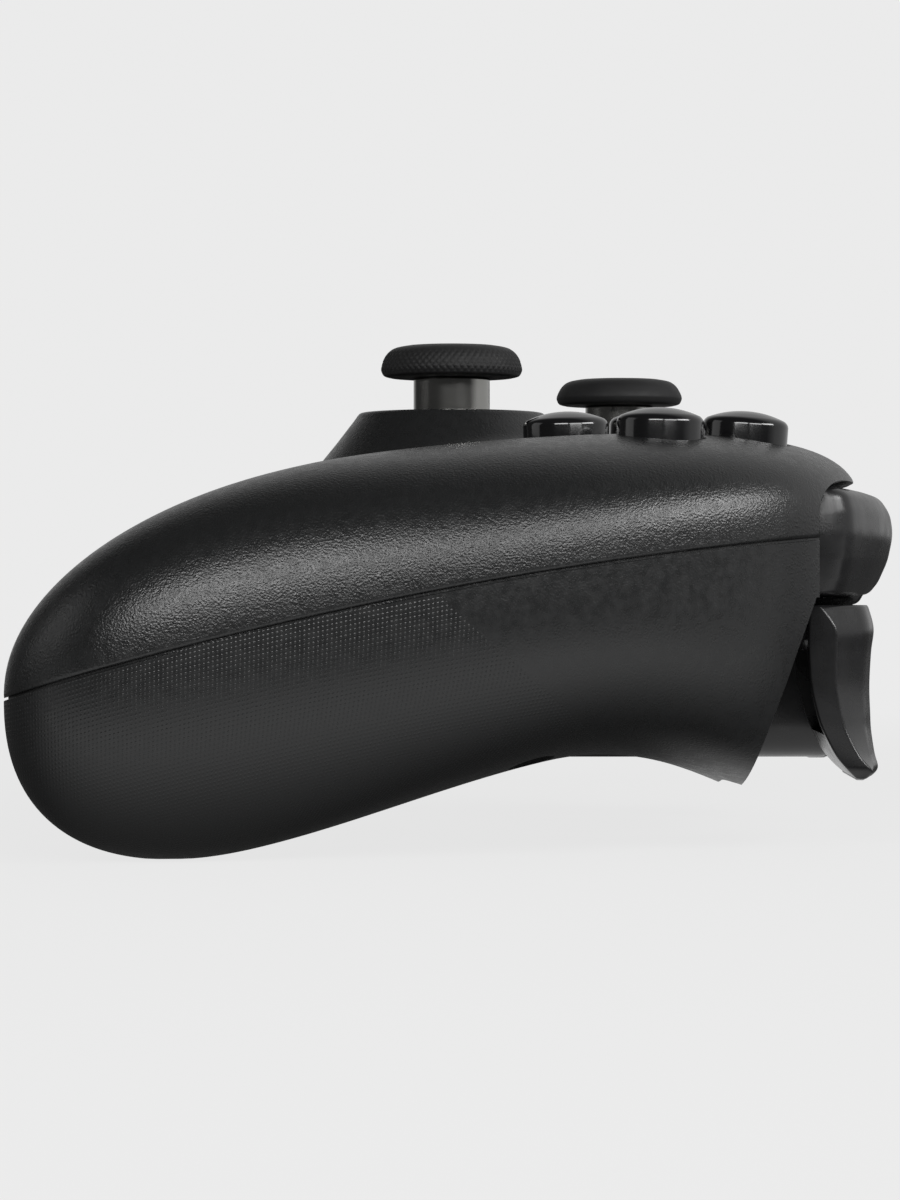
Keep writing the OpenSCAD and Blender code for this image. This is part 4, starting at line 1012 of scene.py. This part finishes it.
class CONTROLLER_OT_bridge(bpy.types.Operator):
    """Builds the bridge between the bumpers, with its openings and the tongues for the bumpers' pins"""

    bl_idname = "controller.bridge"
    bl_label = "Bridge"

    def execute(self, context):
        ends = [(-BRIDGE_W, 0.03), (-BRIDGE_W + 0.12, 0.012), (-BRIDGE_W + 0.35, 0.0)]
        ends += [(-x, k) for x, k in reversed(ends)]
        bridge = loft("front_bridge", [section_at(x, band_outline(BAND_Y, 1, k, BRIDGE_DEEP)) for x, k in ends])
        tongues = [block("tongue", (x, BAND_REAR + 0.4, z), (x + 6, 44.6, z + 1.7))
                   for x in (12.7, -18.7) for z in (BAND_LOW + 0.5, BAND_TOP - 2.2)]
        combine(bridge, tongues, "UNION")
        hollow = block("hollow", (-12.1, BAND_REAR - 1, BOARD_Z - 2), (12.1, BAND_Y - 4, BAND_TOP - 2))
        socket = pill(9.7, 3.9)
        grow = [(-14, 0.0), (-0.75, 0.0), (-0.35, 0.12), (0.4, 0.55), (3, 0.6)]
        mouth = loft("mouth", [[(p[0] * (1 + g / 4.9), BAND_Y + y, USB_Z + p[1] * (1 + g / 2)) for p in socket]
                               for y, g in grow], False)
        peep = loft("peep", [[(PAIR_X + p[0] * (1 + g), BAND_Y + y, PAIR_Z + p[1] * (1 + g)) for p in circle(1.85, 48)]
                             for y, g in ((-14, 0), (-0.6, 0), (-0.2, 0.1), (1, 0.12))], False)
        pins = [bar("pin", (x, PIN_Y, 20), (x, PIN_Y, 60), 0.8, "z") for x in (PIN_X, -PIN_X)]
        combine(bridge, [hollow, mouth, peep] + pins)
        show(crisp(bridge), "case", finish_of("trim"), "satin_black", "bridge_cover")
        return {"FINISHED"}


class CONTROLLER_OT_bumpers(bpy.types.Operator):
    """Builds the two bumpers, swept round the casing's corners, with the cut-outs for their hinges"""

    bl_idname = "controller.bumpers"
    bl_label = "Bumpers"

    def execute(self, context):
        x0 = BRIDGE_W + 0.4
        line = curve_through([(x0, 0), (BAND_W - 24.3, -0.2), (BAND_W - 18.3, -1.3), (BAND_W - 12.3, -3.1),
                              (BAND_W - 6.3, -5.4), (BAND_W - 3.4, -6.62)], 8)
        rings = [section_at(x0, band_outline(BAND_Y, 1, 0.03)), section_at(x0 + 0.12, band_outline(BAND_Y, 1, 0.012))]
        rings += [section_at(x, band_outline(BAND_Y + d)) for x, d in line if x > x0 + 0.3]
        end = curve_through([(BAND_W - 6.3, -5.4), (BAND_W - 3.4, -6.62), (BAND_W - 1.9, -7.4), (BAND_W - 0.85, -8.4),
                             (BAND_W - 0.25, -9.6), (BAND_W - 0.04, -10.9), (BAND_W, -12.2)], 6)[7:]
        half, m = (BAND_TOP - BAND_LOW) / 2, (BAND_TOP + BAND_LOW) / 2
        for x, d in end:
            k = max(0.0, -d - 6.6) / 5.6
            rings.append([(x - 1.1 * k * ((h - m) / half) ** 2, y, h)
                          for y, h in band_outline(BAND_Y + d, 1 - 0.17 * math.sqrt(k) * k)])
        right = loft("right_bumper_bar", rings)
        tools = [block("slot", (x0 - 1, BAND_REAR - 1, BAND_LOW - 1), (x0 + 5.4, NOTCH_Y + 5, BAND_LOW + 2.7)),
                 block("slot", (x0 - 1, BAND_REAR - 1, BAND_TOP - 2.7), (x0 + 5.4, NOTCH_Y + 5, BAND_TOP + 1)),
                 bar("pin", (PIN_X, PIN_Y, 20), (PIN_X, PIN_Y, 60), 0.85, "z")]
        show_both(combine(right, tools), "bumper")
        return {"FINISHED"}


class CONTROLLER_OT_triggers(bpy.types.Operator):
    """Builds the two triggers: hollow curved blades with a ridge, a hooked tip and a bore for the axle"""

    bl_idname = "controller.triggers"
    bl_label = "Triggers"

    def ring(self, z, rear, ridge, front, shrink):
        """The blade's section at a height."""
        t = 0.9 * (1 - ease(z, TRIG_TIP, TRIG_TIP + 1.6))
        rear, ridge, front = FRONT + rear, FRONT + ridge, FRONT + front
        pts = [(TRIG_IN + t, rear + 0.5), (TRIG_OUT - 0.5 - t, rear), (TRIG_OUT - t, ridge), (TRIG_OUT - 5, front),
               (TRIG_OUT - 12, front + 1.3), (TRIG_IN + 4, front + 1.7), (TRIG_IN + t, front + 1.2)]
        out = fillet(pts, [0.4, 0.35, 0.45, 6, 20, 10, 0.6], 7)
        mid = out.mean(axis=0)
        return [(p[0], p[1], z) for p in mid + (out - mid) * (1 - shrink)]

    def execute(self, context):
        a = AXLE_Z - 2.9
        blade = [(TRIG_TIP, -2.4, -1.9, -1.2), (TRIG_TIP + 1.1, -3.6, -0.9, -0.3), (TRIG_TIP + 2.9, -5.1, -2.4, -0.7),
                 (TRIG_TIP + 5.6, -6.5, -3.85, -1.1), (TRIG_TIP + 7.5, -7.2, -4.4, -1.2),
                 (mix(TRIG_TIP + 7.5, a, 0.466), -8, -5.1, -1.3), (a, -8.3, -5.1, -1.1), (AXLE_Z, -8.3, -5.2, -0.8),
                 (TRIG_TOP, -8.2, -7.1, -1.5)]
        rear, ridge, front = [curve_through([(b[0], b[k]) for b in blade], 7) for k in (1, 2, 3)]
        rings = [self.ring(TRIG_TIP + h, rear[0][1] - 0.3, ridge[0][1], front[0][1], k)
                 for h, k in ((0.0, 0.12), (0.06, 0.06), (0.18, 0.02))]
        rings += [self.ring(rear[i][0], rear[i][1], ridge[i][1], front[i][1], 0.0) for i in range(2, len(rear) - 1)]
        rings += [self.ring(TRIG_TOP - h, rear[-1][1], ridge[-1][1], front[-1][1], k)
                  for h, k in ((0.1, 0.01), (0.0, 0.035))]
        right = loft("right_trigger_blade", rings)
        boss = laid(rod("boss", 2.3, 0, 18.8, 40), (TRIG_IN + 3, AXLE_Y, AXLE_Z), "Y")
        plate = block("plate", (TRIG_IN + 3, AXLE_Y, AXLE_Z - 1.4), (TRIG_OUT - 3, AXLE_Y + 5, AXLE_Z + 1.6))
        combine(right, [boss, plate], "UNION")
        inside = []
        for z, y in ((TRIG_TIP + 5.3, -4.8), (TRIG_TIP + 7.7, -5.2), (mix(TRIG_TIP + 7.7, AXLE_Z - 2.6, 0.54), -5.4),
                     (AXLE_Z - 2.6, -5.3)):
            edge = [(TRIG_IN + 1.7, AXLE_Y - 0.9), (TRIG_OUT - 2.2, AXLE_Y - 0.9), (TRIG_OUT - 2.2, FRONT + y),
                    (TRIG_OUT - 6, FRONT + y + 2.2), (TRIG_IN + 1.7, FRONT + y + 3.6)]
            inside.append([(p[0], p[1], z) for p in fillet(edge, [0.2, 0.2, 0.8, 2, 1], 5)])
        bore = laid(rod("bore", 1.05, -40, 40, 32), (34, AXLE_Y, AXLE_Z), "Y")
        spring_room = laid(rod("spring_room", 3.2, 0, 7.6, 40), (TRIG_IN + 9.5, AXLE_Y, AXLE_Z), "Y")
        show_both(combine(right, [loft("inside", inside, False), bore, spring_room]), "trigger")
        return {"FINISHED"}


def cap_mesh(name, at, h, domed, count, depth):
    """A stick's cap: a rounded disc whose side can carry a diamond knurl."""
    r = CAP_D / 2
    side = curve_through([(3, 0.3, 1), (r - 1.1, 0.3, 1), (r - 0.35, 0.52), (r - 0.03, 1.05), (r, 1.5),
                          (r - 0.3, h - 1.75), (r - 0.85, h - 0.95), (r - 1.7, h - 0.4), (r - 3.1, h - 0.12)], 7)
    if domed:
        crown = curve_through([(r - 3.1, h - 0.12), (r - 5.2, h - 0.03), (0, h)], 6)
    else:
        crown = curve_through([(r - 3.1, h - 0.2), (r - 4.6, h - 0.7), (0, h - 0.9)], 6)
        side[-7:, 1] = np.minimum(side[-7:, 1], h - 0.12)
    profile = np.vstack([[(0.0, 2.2), (3, 2.2)], side, crown[1:]])
    cols = count * 6 if depth else 144
    obj = lathe(name, profile, at, cols)
    if depth:
        for v in obj.data.vertices:
            p = v.co * 1000 - Vector(at)
            rad, ang = math.hypot(p.x, p.y), math.atan2(p.y, p.x)
            weight = float(ease(p.z, 0.5, 0.95) * (1 - ease(p.z, h - 1.25, h - 0.75)))
            if rad > 5 and weight > 0:
                a, b = ang * count / (2 * math.pi), p.z / (2 * math.pi * r / count) / 1.15
                groove = min(abs((a + b) % 1 - 0.5), abs((a - b) % 1 - 0.5)) * 2
                k = 1 - depth * weight * max(0.0, 1 - groove * 2.2) / rad
                v.co.x, v.co.y = (at[0] + p.x * k) * MM, (at[1] + p.y * k) * MM
        obj.data.update()
    return crisp(obj, 50)


class CONTROLLER_OT_sticks(bpy.types.Operator):
    """Builds the thumb sticks: rubber cap, polished shaft and the round skirt under the collar"""

    bl_idname = "controller.sticks"
    bl_label = "Thumb sticks"

    def execute(self, context):
        z, r = sizes(), SHAFT_D / 2
        end = math.radians(SKIRT_TURN)
        for side, (x, y) in STICKS.items():
            tall = side == "right"
            low, h = (18.2, 4.3) if tall else (17.8, 4.0)
            at = (x, y, PIVOT_Z + low)
            cap = cap_mesh(side + "_cap", at, h, tall, z.knurl_count, z.knurl_depth if tall else 0)
            show(cap, side + "_stick", finish_of("cap"), "cap_rubber", side + "_stick_cap")
            neck = [(0, -2.6), (1.7, -2.6), (1.8, -2.5), (1.8, 4.2), (2.0, 4.55), (r - 0.25, 6.35), (r - 0.05, 6.6),
                    (r, 6.9), (r, 7.1), (r, low - 0.05), (r, low + 0.1), (r - 0.05, low + 0.22), (r - 0.2, low + 0.28),
                    (3, low + 0.28), (3, low + 2.1), (2.9, low + 2.2), (0, low + 2.2)]
            shaft = lathe(side + "_shaft", neck, (x, y, PIVOT_Z), 128)
            show(crisp(shaft, 40), side + "_stick", finish_of("shaft"), "stick_metal", side + "_stick_shaft")
            a, b = math.asin(r / SKIRT_OUT), math.asin(r / SKIRT_IN)
            outer = [(SKIRT_OUT * math.sin(t), SKIRT_OUT * math.cos(t)) for t in np.linspace(a, end, 28)]
            inner = [(SKIRT_IN * math.sin(t), SKIRT_IN * math.cos(t)) for t in np.linspace(end, b, 16)]
            skirt = lathe(side + "_skirt", outer + inner, (x, y, PIVOT_Z), 128)
            show(crisp(skirt, 40), side + "_stick", finish_of("skirt"), "button_black", side + "_stick_skirt")
        return {"FINISHED"}


def button(name, d, straight, dome, low, at, tilt=0.0, flange=3.6):
    """A round key: domed top, bevelled edge, flange under the casing and a stem."""
    r = d / 2
    top = [(0, straight + dome)]
    for k in np.linspace(0.12, 1, 12):
        top.append((k * (r - 0.42), straight + dome - (dome - 0.42) * k ** 2.1))
    edge = [(r - 0.2, straight + 0.2), (r - 0.06, straight - 0.02), (r, straight - 0.3)]
    rest = [(r, -flange), (r + 0.7, -flange), (r + 0.7, -flange - 1.1), (1.4, -flange - 1.1), (1.4, low), (0, low)]
    return crisp(lathe(name, top + edge + rest, at, 128, tilt), 33)


class CONTROLLER_OT_face_buttons(bpy.types.Operator):
    """Builds the four face buttons, each square to its place on the casing"""

    bl_idname = "controller.face_buttons"
    bl_label = "Face buttons"

    def execute(self, context):
        for name, (x, y) in FACE.items():
            at = on_skin(x, y)
            key = button(name + "_key", FACE_D, 1.7, 1.4, BOARD_Z + 4.9 - at[2], at, key_tilt(y))
            node = "face_button_" + name
            show(key, node + "_body", finish_of("button"), "button_black", node)
        return {"FINISHED"}


class CONTROLLER_OT_direction_pad(bpy.types.Operator):
    """Builds the direction pad: a dished cross with rounded edges over its lugs"""

    bl_idname = "controller.direction_pad"
    bl_label = "Direction pad"

    def execute(self, context):
        (x, y, z), up = on_skin(PAD_X, PAD_Y), 2.6
        base = cross_outline(PAD_W, PAD_ARM, 1.0, 0.3)
        out, level = out_of(base), np.ones(len(base))
        rings = [(base, level * -5.0), (base, level * (up - 0.6))]
        rings += [(base - out * d, level * (up - h)) for d, h in ((0.05, 0.36), (0.17, 0.17), (0.36, 0.05))]
        inset = base - out * 0.6
        for k in (1, 0.93, 0.86, 0.78, 0.7, 0.61, 0.52, 0.42, 0.32, 0.22, 0.12, 0.03):
            p = inset * k
            dish = up + 21.4 - np.sqrt(22.6 ** 2 - np.sum(p * p, axis=1))
            gap = np.clip(0.5 - np.abs(dish - up), 0, None)
            rings.append((p, np.minimum(dish, up) - gap * gap / 2))
        pad = loft("pad_cross", [np.column_stack([x + p[:, 0], y + p[:, 1], z + h]) for p, h in rings])
        combine(pad, [part_below("dpad", z - 4.6)], "UNION")
        show(crisp(pad), "dpad_body", finish_of("pad"), "button_black", "dpad")
        return {"FINISHED"}


class CONTROLLER_OT_small_buttons(bpy.types.Operator):
    """Builds the two small buttons, the share button, the home button and the pairing button"""

    bl_idname = "controller.small_buttons"
    bl_label = "Small buttons"

    def execute(self, context):
        for name, x, y, d, straight, dome in (("view", -SMALL_X, SMALL_Y, SMALL_D, 0.6, 0.5),
                                              ("menu", SMALL_X, SMALL_Y, SMALL_D, 0.6, 0.5),
                                              ("home", 0.0, HOME_Y, HOME_D, 0.4, 0.7)):
            at = on_skin(x, y)
            key = button(name + "_key", d, straight, dome, BOARD_Z + 4.4 - at[2], at)
            show(key, name + "_button_body", finish_of("button"), "button_black", name + "_button")
        z = on_skin(0.0, SHARE_Y)[2]
        rings = [(7.0, 3.6, -3.6), (7.0, 3.6, 0.4), (6.9, 3.5, 0.62), (6.66, 3.26, 0.76), (6.3, 2.9, 0.8)]
        share = loft("share_key", [[(p[0], SHARE_Y + p[1], z + h) for p in pill(w, d)] for w, d, h in rings])
        combine(share, [part_below("share_button", z - 3.2)], "UNION")
        show(crisp(share), "share_button_body", finish_of("button"), "button_black", "share_button")
        pair = lathe("pair_key", [(0, 0), (1.1, 0), (1.35, -0.08), (1.5, -0.3), (1.5, -4.6), (2.4, -4.6), (2.4, -5.6),
                                  (0.9, -5.6), (0.9, -7.6), (0, -7.6)], (0, 0, 0), 64)
        laid(pair, (PAIR_X, BAND_Y - 0.1, PAIR_Z), "X", -math.pi / 2)
        show(crisp(pair), "pair_button_body", finish_of("pad"), "button_black", "pair_button")
        return {"FINISHED"}


class CONTROLLER_OT_works(bpy.types.Operator):
    """Gives the parts inside the casing their finishes"""

    bl_idname = "controller.works"
    bl_label = "Inner parts"

    def execute(self, context):
        plan = {
            "steel": ("steel", ["bumper_pins", "left_trigger_spring", "right_trigger_spring", "usb_socket",
                                "board_screws", "dpad_pivot"]),
            "dark_steel": ("steel", ["case_screws", "trigger_axles", "left_rumble_motor", "right_rumble_motor"]),
            "inner": ("inner_plastic", ["bumper_switches", "trigger_brackets", "dpad_post", "tact_switches",
                                        "headset_jack", "left_stick_base", "right_stick_base", "left_stick_yoke",
                                        "right_stick_yoke"]),
            "nylon": ("inner_plastic", ["left_stick_rocker", "right_stick_rocker"]),
            "silicone": ("silicone", ["face_membrane", "dpad_membrane"]),
            "board": ("board", ["main_board"]),
            "cell": ("cell", ["battery_pack"]),
            "weight": ("weight", ["left_rumble_weight", "right_rumble_weight"]),
        }
        for kind, (slot, names) in plan.items():
            for node in names:
                NODES[node].data.materials.clear()
                NODES[node].data.materials.append(finish_of(kind))
        return {"FINISHED"}


def area_light(name, at, look, w, h, power):
    """A soft box that looks at a point."""
    light = bpy.data.lights.new(name, "AREA")
    light.shape, light.size, light.size_y, light.energy = "RECTANGLE", w, h, power
    obj = placed(name, light)
    obj.location = at
    obj.rotation_euler = (Vector(look) - Vector(at)).to_track_quat("-Z", "Y").to_euler()
    return obj


class CONTROLLER_OT_studio(bpy.types.Operator):
    """Sets the pale floor, the soft lights, the surroundings and the camera"""

    bl_idname = "controller.studio"
    bl_label = "Studio"

    def execute(self, context):
        scene = bpy.context.scene
        pale = tuple(colours().ground)
        self.lay_floor(pale)
        self.set_surroundings(pale)
        [area_light(*row) for row in LIGHTS]

        cam = bpy.data.cameras.new("camera")
        cam.lens, cam.sensor_fit = CAMERA_LENS, "VERTICAL"
        cam.sensor_height = cam.sensor_width = CAMERA_SENSOR
        cam.clip_start, cam.clip_end = 0.01, 20
        scene.camera = placed("camera", cam)
        scene.camera.location = CAMERA_AT
        scene.camera.rotation_euler = (math.pi / 2, 0, math.pi / 2)
        scene.view_settings.view_transform = "Standard"
        return {"FINISHED"}

    def lay_floor(self, pale):
        """A pale floor that keeps a faint shadow, and throws light on the casing's side and nose: for rays other than
        the camera's it glows as a painted pool of light in a band beside the casing and a patch under its nose.
        """
        corners = [(x * FLOOR_HALF, y * FLOOR_HALF, FLOOR_Z) for x, y in ((-1, -1), (1, -1), (1, 1), (-1, 1))]
        floor = make("floor", corners, [(0, 1, 2, 3)], False)
        f = Finish("finish_floor", pale, 0.9)
        f.set("Specular IOR Level", 0.0)
        even = f.remap(f.length(f.place()), 0.15, 0.6, 0.93, 1.0, True)
        shown = f.node("ShaderNodeEmission", {"Color": (*pale, 1), "Strength": 1.0}).outputs[0]
        lit = f.node("ShaderNodeMixShader", {0: even, 1: f.shader.outputs[0], 2: shown}).outputs[0]
        where = f.node("ShaderNodeSeparateXYZ", {0: f.place()})
        x, y = where.outputs["X"], where.outputs["Y"]
        # Painted light: for rays other than the camera's the floor glows in a band beside the casing (side) and a patch
        # under its nose (nose), standing in for light bounced off the floor.
        side = f.math("MULTIPLY", f.remap(x, 0.06, 0.1, 0, 1, True), f.remap(x, 0.11, 0.2, 1, 0, True))
        front = f.math("MULTIPLY", f.remap(y, 0.02, 0.035, 0, 1, True), f.remap(y, 0.05, 0.065, 1, 0, True))
        nose = f.math("MULTIPLY", front, f.remap(x, 0.045, 0.06, 0.9, 0, True))
        glow = f.math("MULTIPLY_ADD", f.math("MAXIMUM", side, nose), 0.8, 0.06)
        bounce = f.node("ShaderNodeEmission", {"Color": (1, 1, 1, 1), "Strength": glow}).outputs[0]
        seen = f.node("ShaderNodeLightPath").outputs["Is Camera Ray"]
        both = f.node("ShaderNodeMixShader", {0: seen, 1: bounce, 2: lit})
        f.link(both.outputs[0], f.out.inputs["Surface"])
        floor.data.materials.append(f.material)

    def set_surroundings(self, pale):
        """A room that is lighter towards the front left, and pale where the camera sees it."""
        world = bpy.data.worlds.new("studio")
        world.use_nodes = True
        bpy.context.scene.world = world
        tree = world.node_tree
        tree.nodes.clear()
        axes = add_node(tree, "ShaderNodeSeparateXYZ", {0: add_node(tree, "ShaderNodeTexCoord").outputs["Generated"]})
        lean = add_node(tree, "ShaderNodeMath", {0: axes.outputs["X"], 1: -1.25, 2: axes.outputs["Y"]},
                        operation="MULTIPLY_ADD")
        ramp = add_node(tree, "ShaderNodeMapRange", {"Value": lean.outputs[0], "From Min": 0.2, "From Max": 0.9,
                                                     "To Min": 0.04, "To Max": 0.5})
        room = add_node(tree, "ShaderNodeBackground", {"Color": (1, 1, 1, 1), "Strength": ramp.outputs["Result"]})
        shown = add_node(tree, "ShaderNodeBackground", {"Color": (*pale, 1), "Strength": 1.0})
        seen = add_node(tree, "ShaderNodeLightPath").outputs["Is Camera Ray"]
        both = add_node(tree, "ShaderNodeMixShader", {0: seen, 1: room.outputs[0], 2: shown.outputs[0]})
        add_node(tree, "ShaderNodeOutputWorld", {0: both.outputs[0]})


class CONTROLLER_PT_panel(bpy.types.Panel):
    """Sizes, colours and the steps of the build"""

    bl_idname = "CONTROLLER_PT_panel"
    bl_label = "Game Controller"
    bl_space_type = "VIEW_3D"
    bl_region_type = "UI"
    bl_category = "Controller"

    def draw(self, context):
        for group in (context.scene.controller_sizes, context.scene.controller_colours):
            box = self.layout.box()
            for name in group.__annotations__:
                box.prop(group, name)
        for step in STEPS:
            self.layout.operator(step.bl_idname)


STEPS = (CONTROLLER_OT_casing, CONTROLLER_OT_belly, CONTROLLER_OT_bridge, CONTROLLER_OT_bumpers,
         CONTROLLER_OT_triggers, CONTROLLER_OT_sticks, CONTROLLER_OT_face_buttons, CONTROLLER_OT_direction_pad,
         CONTROLLER_OT_small_buttons, CONTROLLER_OT_works, CONTROLLER_OT_studio)
CLASSES = (ControllerSizes, ControllerColours) + STEPS + (CONTROLLER_PT_panel,)


def register():
    for cls in CLASSES:
        bpy.utils.register_class(cls)
    bpy.types.Scene.controller_sizes = bpy.props.PointerProperty(type=ControllerSizes)
    bpy.types.Scene.controller_colours = bpy.props.PointerProperty(type=ControllerColours)


def unregister():
    del bpy.types.Scene.controller_colours
    del bpy.types.Scene.controller_sizes
    for cls in reversed(CLASSES):
        bpy.utils.unregister_class(cls)


def main():
    register()
    bpy.ops.controller.casing()
    bpy.ops.controller.belly()
    bpy.ops.controller.bridge()
    bpy.ops.controller.bumpers()
    bpy.ops.controller.triggers()
    bpy.ops.controller.sticks()
    bpy.ops.controller.face_buttons()
    bpy.ops.controller.direction_pad()
    bpy.ops.controller.small_buttons()
    bpy.ops.controller.works()
    bpy.ops.controller.studio()


if __name__ == "__main__":
    main()
